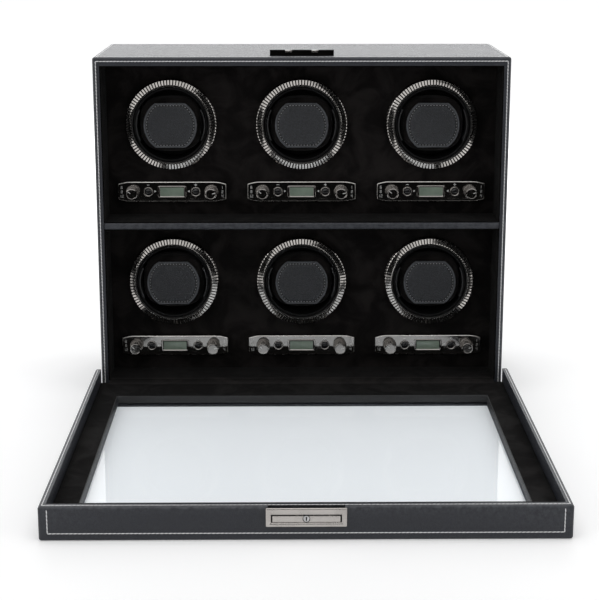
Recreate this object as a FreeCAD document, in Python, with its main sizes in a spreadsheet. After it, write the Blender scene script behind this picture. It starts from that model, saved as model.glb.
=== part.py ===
import FreeCAD, Part
import os
import re

import Sketcher

# A box for six watches, with a drop-down glazed door and six turning cuff drums.
# Millimetres. Origin at the middle of the case's base, +Z up, +Y to the back of the case.
# The door is drawn lying open in front of the case.

doc = FreeCAD.newDocument("watch_winder_box")
sheet = doc.addObject("Spreadsheet::Sheet", "Sizes")

SIZES = [
    # Case
    ("case_width", 410), ("case_depth", 148), ("case_height", 347), ("case_round", 2.5),
    ("side_wall", 6.8), ("top_wall", 8.5), ("floor_height", 16),
    ("shelf_lift", 0.85), ("shelf_thick", 6.6), ("shelf_setback", 0.5),
    ("lining_thick", 1.2), ("lining_setback", 1.0),
    ("panel_recess", 40), ("panel_thick", 4), ("wire_hole_radius", 4),
    ("back_thick", 5), ("back_gap", 0.3), ("corner_block", 18), ("block_depth", 22),
    ("screw_radius", 1.5), ("screw_head_radius", 3.2), ("screw_head_rise", 1.8),
    ("screw_length", 16), ("screw_gap", 0.1),
    ("inlet_radius", 6), ("inlet_flange", 8.5), ("inlet_flange_rise", 1.6), ("inlet_depth", 11),
    ("inlet_socket_radius", 2.8), ("inlet_socket_depth", 9), ("inlet_pin_radius", 1),
    ("inlet_inset", 48), ("inlet_rise", 26),
    # Winder units, three to a row
    ("upper_unit_drop", 1),
    ("ring_radius", 46), ("ring_inner", 38.2), ("ring_proud", 10), ("ring_fall", 2.6),
    ("ring_lip", 1.2), ("spigot_radius", 41.8), ("spigot_depth", 6), ("hole_gap", 0.2),
    ("drum_gap", 0.8), ("drum_wall", 1.8), ("drum_setback", 3), ("drum_length", 35),
    ("shaft_radius", 4), ("shaft_length", 16), ("shaft_gap", 0.05),
    ("housing_gap", 0.4), ("housing_wall", 2), ("housing_length", 31),
    ("housing_flange", 6), ("flange_thick", 2.5),
    ("boss_radius", 6.5), ("boss_length", 5), ("gearbox_radius", 14), ("gearbox_length", 18),
    ("motor_radius", 12), ("motor_length", 24),
    # Watch cuffs
    ("cuff_gap", 0.7), ("cuff_half_height", 30), ("cuff_length", 37), ("cuff_proud", 4),
    ("cuff_roll", 6), ("patch_half_width", 27.5), ("patch_half_height", 23), ("patch_rise", 1.2),
    # Controls below each drum
    ("fascia_width", 112), ("fascia_height", 21.4), ("fascia_end_height", 16.5),
    ("fascia_taper", 11), ("fascia_proud", 6), ("fascia_wall", 1.8), ("fascia_round", 1.4),
    ("fascia_gap", 12.5), ("board_thick", 1.6), ("board_gap", 0.2),
    ("display_width", 24.5), ("display_height", 9.5), ("display_recess", 0.5), ("display_gap", 0.1),
    ("knob_inset", 16), ("knob_radius", 6.1), ("knob_taper", 1),
    ("knob_proud", 14), ("knob_edge", 0.8), ("knob_lift", 0.4),
    ("spindle_radius", 3), ("spindle_gap", 0.08),
    ("button_inset", 31.8), ("button_radius", 3.4), ("button_proud", 1.6), ("button_gap", 0.15),
    ("button_flange", 0.8), ("button_flange_thick", 0.9), ("button_edge", 0.4),
    ("button_play", 0.2),
    # Door
    ("door_thick", 28.7), ("door_rim", 5.7), ("door_front_rim", 6.5), ("door_clear", 0.5),
    ("door_round", 2.2), ("door_slab", 8.5), ("glass_thick", 4), ("glass_seat", 5),
    ("glass_gap", 0.3), ("border_side", 21.4), ("border_near", 31), ("border_far", 41.4), ("border_gap", 0.3),
    # Hinge
    ("hinge_radius", 1.9), ("hinge_gap", 0.3), ("hinge_pin_radius", 1), ("hinge_pin_gap", 0.06),
    ("hinge_inset", 3.2), ("leaf_thick", 0.8), ("leaf_foot", 3),
    # Lock and keeper
    ("lock_width", 64), ("lock_height", 15.6), ("lock_level", 11.9), ("lock_plate_thick", 1.4),
    ("lock_border", 1.5), ("lock_depth", 3.4),
    ("bar_width", 55.6), ("bar_height", 6.6), ("bar_level", 15.4), ("bar_gap", 0.2),
    ("bar_recess", 0.2), ("bar_flange", 1.2), ("bar_flange_high", 0.4), ("bar_flange_thick", 0.8),
    ("bar_play", 0.1),
    ("plug_radius", 2.5), ("plug_gap", 0.05), ("keyway_width", 0.9), ("keyway_height", 3.2),
    ("keyway_depth", 1.2),
    ("claw_thick", 1.1), ("claw_slide_width", 48), ("claw_slide_low", 14), ("claw_slide_high", 20),
    ("claw_width", 3), ("claw_reach", 26.1), ("claw_tip", 1.7), ("claw_hook", 2.6),
    ("keeper_width", 63), ("keeper_height", 6), ("keeper_thick", 1.6), ("keeper_foot", 10),
    ("keeper_foot_thick", 1.2), ("tongue_offset", 13), ("tongue_width", 7),
    ("tongue_length", 6.6), ("tongue_thick", 1.8), ("tongue_notch", 2.3),
    ("tongue_notch_length", 2.6), ("tongue_gap", 0.7),
]
for row, (alias, amount) in enumerate(SIZES, 1):
    sheet.set(f"A{row}", alias.replace("_", " "))
    sheet.set(f"B{row}", str(amount))
    sheet.setAlias(f"B{row}", alias)
doc.recompute()

HINGE_SEGMENTS = 13

# Levels that several pieces share
FRONT = "(0 - case_depth / 2)"
BACK = "(case_depth / 2)"
INSIDE = "(case_width / 2 - side_wall)"
CEILING = "(case_height - top_wall)"
SHELF = f"((floor_height + {CEILING} - shelf_thick) / 2 + shelf_lift)"
SHELF_TOP = f"({SHELF} + shelf_thick)"
PANEL = f"({FRONT} + panel_recess)"
BACK_SEAT = f"({BACK} - back_thick)"
BAYS = {"upper": (SHELF_TOP, CEILING), "lower": ("floor_height", SHELF)}
# Each bay is shared out among three units, and a drum with its controls stands mid-way up it
UNIT_PITCH = f"(2 * {INSIDE} / 3)"
FASCIA_DROP = "(ring_radius + fascia_gap + fascia_height / 2)"
UNIT_LIFT = "((fascia_gap + fascia_height) / 2)"
ROWS = {"upper": f"(({SHELF_TOP} + {CEILING}) / 2 + {UNIT_LIFT} - upper_unit_drop)",
        "lower": f"((floor_height + {SHELF}) / 2 + {UNIT_LIFT})"}
COLUMNS = {"left": f"(0 - {UNIT_PITCH})", "middle": "0", "right": UNIT_PITCH}
UNITS = [(f"{row}_{column}", across, level)
         for row, level in ROWS.items() for column, across in COLUMNS.items()]
HINGE_HALF = f"({INSIDE} - hinge_inset)"
HINGE_REACH = "(hinge_radius + hinge_gap)"
HINGE_Y = f"({FRONT} - {HINGE_REACH})"
HINGE_Z = f"(floor_height - {HINGE_REACH})"
DOOR_INSIDE = "(case_width / 2 + door_clear)"
DOOR_OUTSIDE = f"({DOOR_INSIDE} + door_rim)"
DOOR_REAR = f"({FRONT} - 2 * {HINGE_REACH})"
RIM_FACE = f"({DOOR_REAR} + floor_height - case_height - door_clear)"
DOOR_FRONT = f"({RIM_FACE} - door_front_rim)"
BORDER_TOP = "(floor_height - door_clear)"
WINDOW_SIDE = f"({DOOR_INSIDE} - border_side)"
WINDOW_NEAR = f"({RIM_FACE} + border_near)"
WINDOW_FAR = f"({DOOR_REAR} - border_far)"


def bound(formula):
    """The formula with every size read from the sheet."""
    return re.sub(r"[a-z][a-z_]*", r"Sizes.\g<0>", formula)


def size(formula):
    return float(sheet.evalExpression(bound(formula)))


def bind(item, name, formula):
    item.setExpression(name, bound(formula))


def place(item, x, y, z):
    for axis, formula in zip("xyz", (x, y, z)):
        bind(item, f"Placement.Base.{axis}", formula)


def minus(formula):
    return f"(0 - ({formula}))"


def both(half):
    """A span that reaches as far to the left as to the right."""
    return minus(half), f"({half})"


def block(name, x, y, z):
    """A box given by the two ends of its span on each axis."""
    item = doc.addObject("Part::Box", name)
    for side, (low, high) in zip(("Length", "Width", "Height"), (x, y, z)):
        bind(item, side, f"({high}) - ({low})")
    place(item, x[0], y[0], z[0])
    return item


TURNS = {"x": FreeCAD.Rotation(FreeCAD.Vector(0, 1, 0), 90),
         "y": FreeCAD.Rotation(FreeCAD.Vector(1, 0, 0), -90)}


def rod(name, along, radius, span, x="0", y="0", z="0"):
    """A round bar along one axis; the span gives its two ends there."""
    item = doc.addObject("Part::Cylinder", name)
    item.Placement = FreeCAD.Placement(FreeCAD.Vector(), TURNS[along])
    bind(item, "Radius", radius)
    bind(item, "Height", f"({span[1]}) - ({span[0]})")
    ends = {"x": x, "y": y, "z": z}
    ends[along] = span[0]
    place(item, **ends)
    return item


def fused(name, pieces):
    item = doc.addObject("Part::MultiFuse", name)
    item.Shapes = pieces
    item.Refine = True
    return item


def cut(name, base, tools):
    item = doc.addObject("Part::Cut", name)
    item.Base = base
    item.Tool = tools[0] if len(tools) == 1 else fused(name + "_tools", tools)
    return item


def group(name, pieces):
    item = doc.addObject("Part::Compound", name)
    item.Links = pieces
    return item


def rounded(name, base, radius, wanted):
    """A box with the edges that wanted() picks, by their middle, turned to a radius."""
    doc.recompute()
    item = doc.addObject("Part::Fillet", name)
    item.Base = base
    middles = [edge.CenterOfMass for edge in base.Shape.Edges]
    item.Edges = [(number, size(radius), size(radius))
                  for number, middle in enumerate(middles, 1) if wanted(middle)]
    return item


def polygon(body, name, plane, corners):
    """A closed sketch on one of the body's own planes, each corner bound to the sheet."""
    sketch = body.newObject("Sketcher::SketchObject", name)
    support = next(item for item in body.Origin.OriginFeatures if item.Role == plane)
    sketch.AttachmentSupport = (support, [""])
    sketch.MapMode = "FlatFace"
    points = [FreeCAD.Vector(size(x), size(y), 0) for x, y in corners]
    for start, end in zip(points, points[1:] + points[:1]):
        sketch.addGeometry(Part.LineSegment(start, end), False)
    count = len(points)
    for line in range(count):
        sketch.addConstraint(Sketcher.Constraint("Coincident", line, 2, (line + 1) % count, 1))
    for line, (x, y) in enumerate(corners):
        for kind, formula in (("DistanceX", x), ("DistanceY", y)):
            rule = sketch.addConstraint(Sketcher.Constraint(kind, -1, 1, line, 1, size(formula)))
            bind(sketch, f"Constraints[{rule}]", formula)
    return sketch


def turned(name, profile, x, z, y=PANEL):
    """A body turned about its own Y axis; the profile runs (radius, distance behind y)."""
    body = doc.addObject("PartDesign::Body", name)
    turn = body.newObject("PartDesign::Revolution", name + "_turn")
    turn.Profile = polygon(body, name + "_profile", "XY_Plane", profile)
    turn.ReferenceAxis = (turn.Profile[0], ["V_Axis"])
    turn.Angle = 360
    body.Tip = turn
    place(body, x, y, z)
    return body


pieces = {}


def keep(node, item):
    """Name a finished piece; its solid goes to a file of that name."""
    item.Label = node
    pieces[node] = item


# Case shell: four wrapped boards with blocks in the back corners for the cover's screws
shell_outside = rounded(
    "shell_outside",
    block("shell_block", both("case_width / 2"), (FRONT, BACK), ("0", "case_height")),
    "case_round",
    lambda middle: middle.z > 1)
shell_hollow = block("shell_hollow", both(INSIDE), (f"{FRONT} - 1", f"{BACK} + 1"),
                     ("floor_height", CEILING))
shell_open = cut("shell_open", shell_outside, [shell_hollow])

corner_blocks = []
block_holes = []
cover_holes = []
cover_screws = []
for side, edge, inward in (("left", minus(INSIDE), 1), ("right", INSIDE, -1)):
    for rise, level, up in (("low", "floor_height", 1), ("high", CEILING, -1)):
        corner = f"{side}_{rise}"
        across = sorted((edge, f"({edge} + {inward} * corner_block)"), key=size)
        along = sorted((level, f"({level} + {up} * corner_block)"), key=size)
        middle = (f"({across[0]} + corner_block / 2)", f"({along[0]} + corner_block / 2)")
        corner_blocks.append(block(f"block_{corner}", across,
                                   (f"{BACK_SEAT} - block_depth", BACK_SEAT), along))
        for holes, radius in ((block_holes, "screw_radius"), (cover_holes, "screw_radius + screw_gap")):
            holes.append(rod(f"hole_{corner}_{len(holes)}_{len(radius)}", "y", radius,
                             (f"{BACK} - screw_length", f"{BACK} + 1"), x=middle[0], z=middle[1]))
        shank = rod(f"shank_{corner}", "y", "screw_radius",
                    (f"{BACK} - screw_length", f"{BACK} + 0.2"), x=middle[0], z=middle[1])
        head = rod(f"head_{corner}", "y", "screw_head_radius",
                   (BACK, f"{BACK} + screw_head_rise"), x=middle[0], z=middle[1])
        cover_screws.append(fused(f"screw_{corner}", [shank, head]))

shell_blocked = fused("shell_blocked", [shell_open] + corner_blocks)
keep("case_shell", cut("case_shell", shell_blocked, block_holes))
keep("cover_screws", group("cover_screws", cover_screws))

# Back cover, let in between the boards, and the power socket in it
inlet = {"x": f"{INSIDE} - inlet_inset", "z": "floor_height + inlet_rise"}
cover_plate = block("cover_plate", both(f"{INSIDE} - back_gap"), (BACK_SEAT, BACK),
                    ("floor_height + back_gap", f"{CEILING} - back_gap"))
inlet_hole = rod("inlet_hole", "y", "inlet_radius + hole_gap", (f"{BACK_SEAT} - 1", f"{BACK} + 1"), **inlet)
keep("back_cover", cut("back_cover", cover_plate, cover_holes + [inlet_hole]))

inlet_body = rod("inlet_body", "y", "inlet_radius", (f"{BACK} - inlet_depth", f"{BACK} + 0.2"), **inlet)
inlet_rim = rod("inlet_rim", "y", "inlet_flange", (BACK, f"{BACK} + inlet_flange_rise"), **inlet)
inlet_socket = rod("inlet_socket", "y", "inlet_socket_radius",
                   (f"{BACK} + inlet_flange_rise - inlet_socket_depth",
                    f"{BACK} + inlet_flange_rise + 1"), **inlet)
inlet_pin = rod("inlet_pin", "y", "inlet_pin_radius",
                (f"{BACK} + inlet_flange_rise - inlet_socket_depth - 1", BACK), **inlet)
inlet_bored = cut("inlet_bored", fused("inlet_solid", [inlet_body, inlet_rim]), [inlet_socket])
keep("power_inlet", fused("power_inlet", [inlet_bored, inlet_pin]))

# Shelf between the two bays
keep("middle_shelf", block("middle_shelf", both(INSIDE),
                           (f"{FRONT} + shelf_setback", BACK_SEAT), (SHELF, SHELF_TOP)))

# Suede linings round the walls of each bay, and the panels that carry the winder units
linings = []
panels = []
for row, (low, high) in BAYS.items():
    lining_span = (f"{FRONT} + lining_setback", PANEL)
    lining_block = block(f"lining_block_{row}", both(INSIDE), lining_span, (low, high))
    lining_hollow = block(f"lining_hollow_{row}", both(f"{INSIDE} - lining_thick"),
                          (f"{FRONT} - 1", f"{PANEL} + 1"),
                          (f"{low} + lining_thick", f"{high} - lining_thick"))
    linings.append(cut(f"lining_{row}", lining_block, [lining_hollow]))
    panel_block = block(f"panel_block_{row}", both(INSIDE), (PANEL, f"{PANEL} + panel_thick"), (low, high))
    panel_span = (f"{PANEL} - 1", f"{PANEL} + panel_thick + 1")
    openings = []
    for column, across in COLUMNS.items():
        openings.append(rod(f"drum_hole_{row}_{column}", "y", "spigot_radius + hole_gap", panel_span,
                            x=across, z=ROWS[row]))
        openings.append(rod(f"wire_hole_{row}_{column}", "y", "wire_hole_radius", panel_span,
                            x=across, z=f"{ROWS[row]} - {FASCIA_DROP}"))
    panels.append(cut(f"panel_{row}", panel_block, openings))
keep("suede_linings", group("suede_linings", linings))
keep("winder_panels", group("winder_panels", panels))

# Bezel ring, drum housing and geared motor of each unit, all round one axis
DRUM_RADIUS = "(ring_inner - drum_gap)"
DRUM_LIP = "(drum_setback - ring_proud)"
DRUM_END = f"({DRUM_LIP} + drum_length)"
SHAFT_END = f"({DRUM_END} + shaft_length)"
RING_FRONT = "(0 - ring_proud)"
RING_PROFILE = [
    ("ring_inner", "spigot_depth"), ("spigot_radius", "spigot_depth"), ("spigot_radius", "0"),
    ("ring_radius", "0"), ("ring_radius", f"{RING_FRONT} + ring_fall"),
    ("ring_inner + ring_lip", RING_FRONT),
    ("ring_inner", f"{RING_FRONT} + ring_lip")]

CAN_INSIDE = "(spigot_radius + housing_gap)"
CAN_OUTSIDE = f"({CAN_INSIDE} + housing_wall)"
CAN_END = "(panel_thick + housing_length)"
HOUSING_PROFILE = [
    (CAN_INSIDE, "panel_thick"), (f"{CAN_OUTSIDE} + housing_flange", "panel_thick"),
    (f"{CAN_OUTSIDE} + housing_flange", "panel_thick + flange_thick"),
    (CAN_OUTSIDE, "panel_thick + flange_thick"), (CAN_OUTSIDE, CAN_END),
    ("boss_radius + hole_gap", CAN_END), ("boss_radius + hole_gap", f"{CAN_END} - housing_wall"),
    (CAN_INSIDE, f"{CAN_END} - housing_wall")]

GEARBOX_END = f"({CAN_END} + gearbox_length)"
MOTOR_END = f"({GEARBOX_END} + motor_length)"
MOTOR_PROFILE = [
    ("shaft_radius + shaft_gap", f"{CAN_END} - boss_length"), ("boss_radius", f"{CAN_END} - boss_length"),
    ("boss_radius", CAN_END), ("gearbox_radius", CAN_END), ("gearbox_radius", GEARBOX_END),
    ("motor_radius", GEARBOX_END), ("motor_radius", MOTOR_END), ("0", MOTOR_END),
    ("0", f"{SHAFT_END} + 0.5"), ("shaft_radius + shaft_gap", f"{SHAFT_END} + 0.5")]

for node, profile in (("bezel_rings", RING_PROFILE), ("drum_housings", HOUSING_PROFILE),
                      ("gear_motors", MOTOR_PROFILE)):
    keep(node, group(node, [turned(f"{node}_{unit}", profile, across, level)
                            for unit, across, level in UNITS]))

# Drums: an open cup on a stub shaft that runs in the motor's bearing
DRUM_BORE = f"({DRUM_RADIUS} - drum_wall)"
DRUM_PROFILE = [
    (DRUM_BORE, DRUM_LIP), (DRUM_RADIUS, DRUM_LIP), (DRUM_RADIUS, DRUM_END), ("shaft_radius", DRUM_END),
    ("shaft_radius", SHAFT_END), ("0", SHAFT_END), ("0", f"{DRUM_END} - drum_wall"),
    (DRUM_BORE, f"{DRUM_END} - drum_wall")]
for unit, across, level in UNITS:
    node = f"{unit}_drum"
    keep(node, turned(node, DRUM_PROFILE, across, level))

# Watch cuffs: a stuffed body with rounded sides and drawn-in ends, and a face patch on its front
CUFF_RADIUS = f"({DRUM_BORE} - cuff_gap)"
CUFF_FACE = f"({RING_FRONT} - cuff_proud)"


def barrel_wire(half_width, half_height, bulge, distance):
    """A flat-topped outline with bowed sides, standing across the drum's axis."""
    def at(x, z):
        return FreeCAD.Vector(x, distance, z)
    shoulder = half_width - bulge
    right = Part.Arc(at(shoulder, -half_height), at(half_width, 0), at(shoulder, half_height))
    left = Part.Arc(at(-shoulder, half_height), at(-half_width, 0), at(-shoulder, -half_height))
    top = Part.LineSegment(at(shoulder, half_height), at(-shoulder, half_height))
    bottom = Part.LineSegment(at(-shoulder, -half_height), at(shoulder, -half_height))
    return Part.Wire([curve.toShape() for curve in (right, top, left, bottom)])


def cuff_solid():
    half_width = size(CUFF_RADIUS)
    half_height = size("cuff_half_height")
    bulge = half_width - (half_width ** 2 - half_height ** 2) ** 0.5
    face = size(f"{CUFF_FACE} + patch_rise")
    roll = size("cuff_roll")
    end = size(f"{CUFF_FACE} + cuff_length")
    # distance behind the face, and how far the outline is drawn in there
    stations = [(face, roll), (face + 0.25 * roll, 0.48 * roll), (face + 0.7 * roll, 0.13 * roll),
                (face + 1.5 * roll, 0), (end - roll, 0), (end - 0.35 * roll, 0.22 * roll),
                (end, 0.6 * roll)]
    body = Part.makeLoft([barrel_wire(half_width - inset, half_height - inset, bulge, distance)
                          for distance, inset in stations], True, False)
    patch_bow = size("patch_half_height") ** 2 / (2 * half_width)
    patch = Part.Face(barrel_wire(size("patch_half_width"), size("patch_half_height"), patch_bow,
                                  size(CUFF_FACE)))
    return body.fuse(patch.extrude(FreeCAD.Vector(0, size("patch_rise") + 0.6 * roll, 0)))


for unit, across, level in UNITS:
    node = f"{unit}_cuff"
    cuff = doc.addObject("Part::Feature", node)
    cuff.Shape = cuff_solid()
    place(cuff, across, PANEL, level)
    keep(node, cuff)

# Control fascias: a moulded shell with tapered ends, open at the back for its circuit board
END_HALF = "(fascia_end_height / 2)"
KNOB_OFFSET = "(fascia_width / 2 - knob_inset)"
BUTTON_OFFSET = "(fascia_width / 2 - button_inset)"
CAVITY_HALF_WIDTH = "(fascia_width / 2 - 2 * fascia_wall)"
CAVITY_HALF_HEIGHT = f"({END_HALF} - fascia_wall)"
FASCIA_OUTLINE = [
    (f"{sign} * ({across})", f"{rise} * ({height})")
    for sign, rise, corner in ((-1, -1, 0), (1, -1, 1), (1, 1, 0), (-1, 1, 1))
    for across, height in ((("fascia_width / 2", END_HALF),
                            ("fascia_width / 2 - fascia_taper", "fascia_height / 2"))[::-1 if corner else 1])]
CAVITY_OUTLINE = [(f"{sign} * {CAVITY_HALF_WIDTH}", f"{rise} * {CAVITY_HALF_HEIGHT}")
                  for sign, rise in ((-1, -1), (1, -1), (1, 1), (-1, 1))]

fascias = []
displays = []
boards = []
for unit, across, level in UNITS:
    centre = f"({level} - {FASCIA_DROP})"
    body = doc.addObject("PartDesign::Body", f"fascia_shell_{unit}")
    pad = body.newObject("PartDesign::Pad", f"fascia_pad_{unit}")
    pad.Profile = polygon(body, f"fascia_outline_{unit}", "XZ_Plane", FASCIA_OUTLINE)
    bind(pad, "Length", "fascia_proud")
    doc.recompute()
    soft = body.newObject("PartDesign::Fillet", f"fascia_soft_{unit}")
    front_face = min(range(len(pad.Shape.Faces)), key=lambda n: pad.Shape.Faces[n].CenterOfMass.y)
    soft.Base = (pad, [f"Face{front_face + 1}"])
    bind(soft, "Radius", "fascia_round")
    hollow = body.newObject("PartDesign::Pocket", f"fascia_hollow_{unit}")
    hollow.Profile = polygon(body, f"fascia_cavity_{unit}", "XZ_Plane", CAVITY_OUTLINE)
    hollow.Reversed = True
    bind(hollow, "Length", "fascia_proud - fascia_wall")
    body.Tip = hollow
    place(body, across, PANEL, centre)

    through = (f"{PANEL} - fascia_proud - 1", f"{PANEL} - 1")
    openings = [block(f"display_hole_{unit}", both("display_width / 2"), through, both("display_height / 2"))]
    place(openings[0], f"{across} - display_width / 2", through[0], f"{centre} - display_height / 2")
    for sign in (-1, 1):
        openings.append(rod(f"spindle_hole_{unit}_{sign + 1}", "y", "spindle_radius + spindle_gap", through,
                            x=f"{across} + {sign} * {KNOB_OFFSET}", z=centre))
        openings.append(rod(f"button_hole_{unit}_{sign + 1}", "y", "button_radius + button_gap", through,
                            x=f"{across} + {sign} * {BUTTON_OFFSET}", z=centre))
    fascias.append(cut(f"fascia_{unit}", body, openings))

    half_width = "(display_width / 2 - display_gap)"
    half_height = "(display_height / 2 - display_gap)"
    displays.append(block(f"display_{unit}", (f"{across} - {half_width}", f"{across} + {half_width}"),
                          (f"{PANEL} - fascia_proud + display_recess", f"{PANEL} - board_thick"),
                          (f"{centre} - {half_height}", f"{centre} + {half_height}")))
    half_width = f"({CAVITY_HALF_WIDTH} - board_gap)"
    half_height = f"({CAVITY_HALF_HEIGHT} - board_gap)"
    boards.append(block(f"board_{unit}", (f"{across} - {half_width}", f"{across} + {half_width}"),
                        (f"{PANEL} - board_thick", PANEL),
                        (f"{centre} - {half_height}", f"{centre} + {half_height}")))
keep("control_fascias", group("control_fascias", fascias))
keep("display_modules", group("display_modules", displays))
keep("control_boards", group("control_boards", boards))

# Knobs and push buttons, left and right on each fascia
KNOB_BACK = "(0 - fascia_proud - knob_lift)"
KNOB_FRONT = "(0 - fascia_proud - knob_proud)"
KNOB_PROFILE = [
    ("0", "0 - board_thick - knob_lift"), ("spindle_radius", "0 - board_thick - knob_lift"),
    ("spindle_radius", KNOB_BACK), ("knob_radius + knob_taper", KNOB_BACK),
    ("knob_radius", f"{KNOB_FRONT} + knob_edge"), ("knob_radius - knob_edge", KNOB_FRONT),
    ("0", KNOB_FRONT)]
BUTTON_SEAT = "(fascia_wall + button_play - fascia_proud)"
BUTTON_FRONT = "(0 - fascia_proud - button_proud)"
BUTTON_PROFILE = [
    ("0", f"{BUTTON_SEAT} + button_flange_thick"),
    ("button_radius + button_flange", f"{BUTTON_SEAT} + button_flange_thick"),
    ("button_radius + button_flange", BUTTON_SEAT), ("button_radius", BUTTON_SEAT),
    ("button_radius", f"{BUTTON_FRONT} + button_edge"), ("button_radius - button_edge", BUTTON_FRONT),
    ("0", BUTTON_FRONT)]
for unit, across, level in UNITS:
    for side, sign in (("left", -1), ("right", 1)):
        for piece, profile, offset in (("knob", KNOB_PROFILE, KNOB_OFFSET),
                                       ("button", BUTTON_PROFILE, BUTTON_OFFSET)):
            node = f"{unit}_{side}_{piece}"
            keep(node, turned(node, profile, f"{across} + {sign} * {offset}", f"{level} - {FASCIA_DROP}"))

# Door frame: a slab with a raised rim on three sides, a stepped window and a pocket for the lock
door_outside = rounded(
    "door_outside",
    block("door_block", both(DOOR_OUTSIDE), (DOOR_FRONT, f"{FRONT} - door_clear"), ("0", "door_thick")),
    "door_round",
    lambda middle: middle.y < size(DOOR_REAR))
door_tray = block("door_tray", both(DOOR_INSIDE), (RIM_FACE, FRONT), ("door_slab", "door_thick + 1"))
door_heel = block("door_heel", both(DOOR_INSIDE), (DOOR_REAR, FRONT), ("0 - 1", "door_thick + 1"))
glass_hollow = block("glass_hollow", both(f"{WINDOW_SIDE} + glass_seat"),
                     (f"{WINDOW_NEAR} - glass_seat", f"{WINDOW_FAR} + glass_seat"),
                     ("door_slab - glass_thick", "door_slab + 1"))
window_hole = block("window_hole", both(WINDOW_SIDE), (WINDOW_NEAR, WINDOW_FAR), ("0 - 1", "door_slab + 1"))
lock_pocket = block("lock_pocket", both("lock_width / 2 - lock_border"),
                    (f"{DOOR_FRONT} - 1", f"{DOOR_FRONT} + lock_depth"),
                    ("lock_level + lock_border", "door_thick + 1"))
keep("door_frame", cut("door_frame", door_outside,
                       [door_tray, door_heel, glass_hollow, window_hole, lock_pocket]))

# Glass pane in its seat, and the suede border that holds it down
keep("door_glass", block(
    "door_glass", both(f"{WINDOW_SIDE} + glass_seat - glass_gap"),
    (f"{WINDOW_NEAR} - glass_seat + glass_gap", f"{WINDOW_FAR} + glass_seat - glass_gap"),
    ("door_slab - glass_thick", "door_slab")))
border_plate = block("border_plate", both(f"{DOOR_INSIDE} - border_gap"),
                     (f"{RIM_FACE} + border_gap", DOOR_REAR), ("door_slab", BORDER_TOP))
border_hole = block("border_hole", both(WINDOW_SIDE), (WINDOW_NEAR, WINDOW_FAR),
                    ("door_slab - 1", f"{BORDER_TOP} + 1"))
keep("door_border", cut("door_border", border_plate, [border_hole]))

# Long hinge: knuckles of the two leaves take turns along one pin
SEGMENT = f"(2 * {HINGE_HALF} / {HINGE_SEGMENTS})"
LEAF_TOP = f"({HINGE_Z} - {HINGE_REACH})"
LEAVES = {"case_hinge_leaf": (0, (f"{FRONT} - leaf_thick", FRONT)),
          "door_hinge_leaf": (1, (DOOR_REAR, f"{DOOR_REAR} + leaf_thick"))}
for node, (first, leaf_span) in LEAVES.items():
    solids = [block(f"{node}_plate", both(HINGE_HALF), leaf_span, ("leaf_foot", LEAF_TOP))]
    for segment in range(first, HINGE_SEGMENTS, 2):
        start = f"({segment} * {SEGMENT} - {HINGE_HALF} + hinge_gap / 2)"
        span = (start, f"{start} + {SEGMENT} - hinge_gap")
        solids.append(block(f"{node}_tab_{segment}", span, leaf_span, (LEAF_TOP, HINGE_Z)))
        solids.append(rod(f"{node}_knuckle_{segment}", "x", "hinge_radius", span, y=HINGE_Y, z=HINGE_Z))
    bore = rod(f"{node}_bore", "x", "hinge_pin_radius + hinge_pin_gap", both(f"{HINGE_HALF} + 1"),
               y=HINGE_Y, z=HINGE_Z)
    keep(node, cut(node, fused(f"{node}_solid", solids), [bore]))
keep("hinge_pin", rod("hinge_pin", "x", "hinge_pin_radius", both(HINGE_HALF), y=HINGE_Y, z=HINGE_Z))

# Lock: a plate on the door's front edge, with a push bar, a key plug and a slide with two claws
plate_block = block("plate_block", both("lock_width / 2"),
                    (f"{DOOR_FRONT} - lock_plate_thick", DOOR_FRONT), ("lock_level", "lock_level + lock_height"))
bar_hole = block("bar_hole", both("bar_width / 2"), (f"{DOOR_FRONT} - lock_plate_thick - 1", f"{DOOR_FRONT} + 1"),
                 ("bar_level", "bar_level + bar_height"))
keep("lock_plate", cut("lock_plate", plate_block, [bar_hole]))

BAR_FACE = f"({DOOR_FRONT} - lock_plate_thick + bar_recess)"
BAR_BACK = f"({DOOR_FRONT} + bar_play + bar_flange_thick)"
PLUG_LEVEL = "(bar_level + bar_height / 2)"
bar_front = block("bar_front", both("bar_width / 2 - bar_gap"), (BAR_FACE, BAR_BACK),
                  ("bar_level + bar_gap", "bar_level + bar_height - bar_gap"))
bar_rear = block("bar_rear", both("bar_width / 2 + bar_flange"), (f"{DOOR_FRONT} + bar_play", BAR_BACK),
                 ("bar_level - bar_flange", "bar_level + bar_height + bar_flange_high"))
plug_hole = rod("plug_hole", "y", "plug_radius + plug_gap", (f"{BAR_FACE} - 1", f"{BAR_BACK} + 1"), z=PLUG_LEVEL)
keep("lock_push_bar", cut("lock_push_bar", fused("bar_solid", [bar_front, bar_rear]), [plug_hole]))

plug = rod("plug", "y", "plug_radius", (f"{BAR_FACE} - bar_recess", BAR_BACK), z=PLUG_LEVEL)
keyway = block("keyway", both("keyway_width / 2"), (f"{BAR_FACE} - 1", f"{BAR_FACE} - bar_recess + keyway_depth"),
               (f"{PLUG_LEVEL} - keyway_height / 2", f"{PLUG_LEVEL} + keyway_height / 2"))
keep("lock_cylinder", cut("lock_cylinder", plug, [keyway]))

CLAW_BACK = f"({DOOR_FRONT} + lock_depth - bar_gap)"
claw_span = (f"{CLAW_BACK} - claw_thick", CLAW_BACK)
claws = [block("claw_slide", both("claw_slide_width / 2"), claw_span, ("claw_slide_low", "claw_slide_high"))]
tongues = []
for side, sign in (("left", -1), ("right", 1)):
    edge = f"({sign} * tongue_offset + tongue_width / 2)"
    claws.append(block(f"claw_{side}", (f"{edge} + tongue_gap", f"{edge} + tongue_gap + claw_width"), claw_span,
                       ("claw_slide_low", "claw_reach")))
    claws.append(block(f"claw_tip_{side}", (f"{edge} + tongue_gap - claw_hook", f"{edge} + tongue_gap"), claw_span,
                       ("claw_reach - claw_tip", "claw_reach")))
keep("lock_claws", fused("lock_claws", claws))

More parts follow.
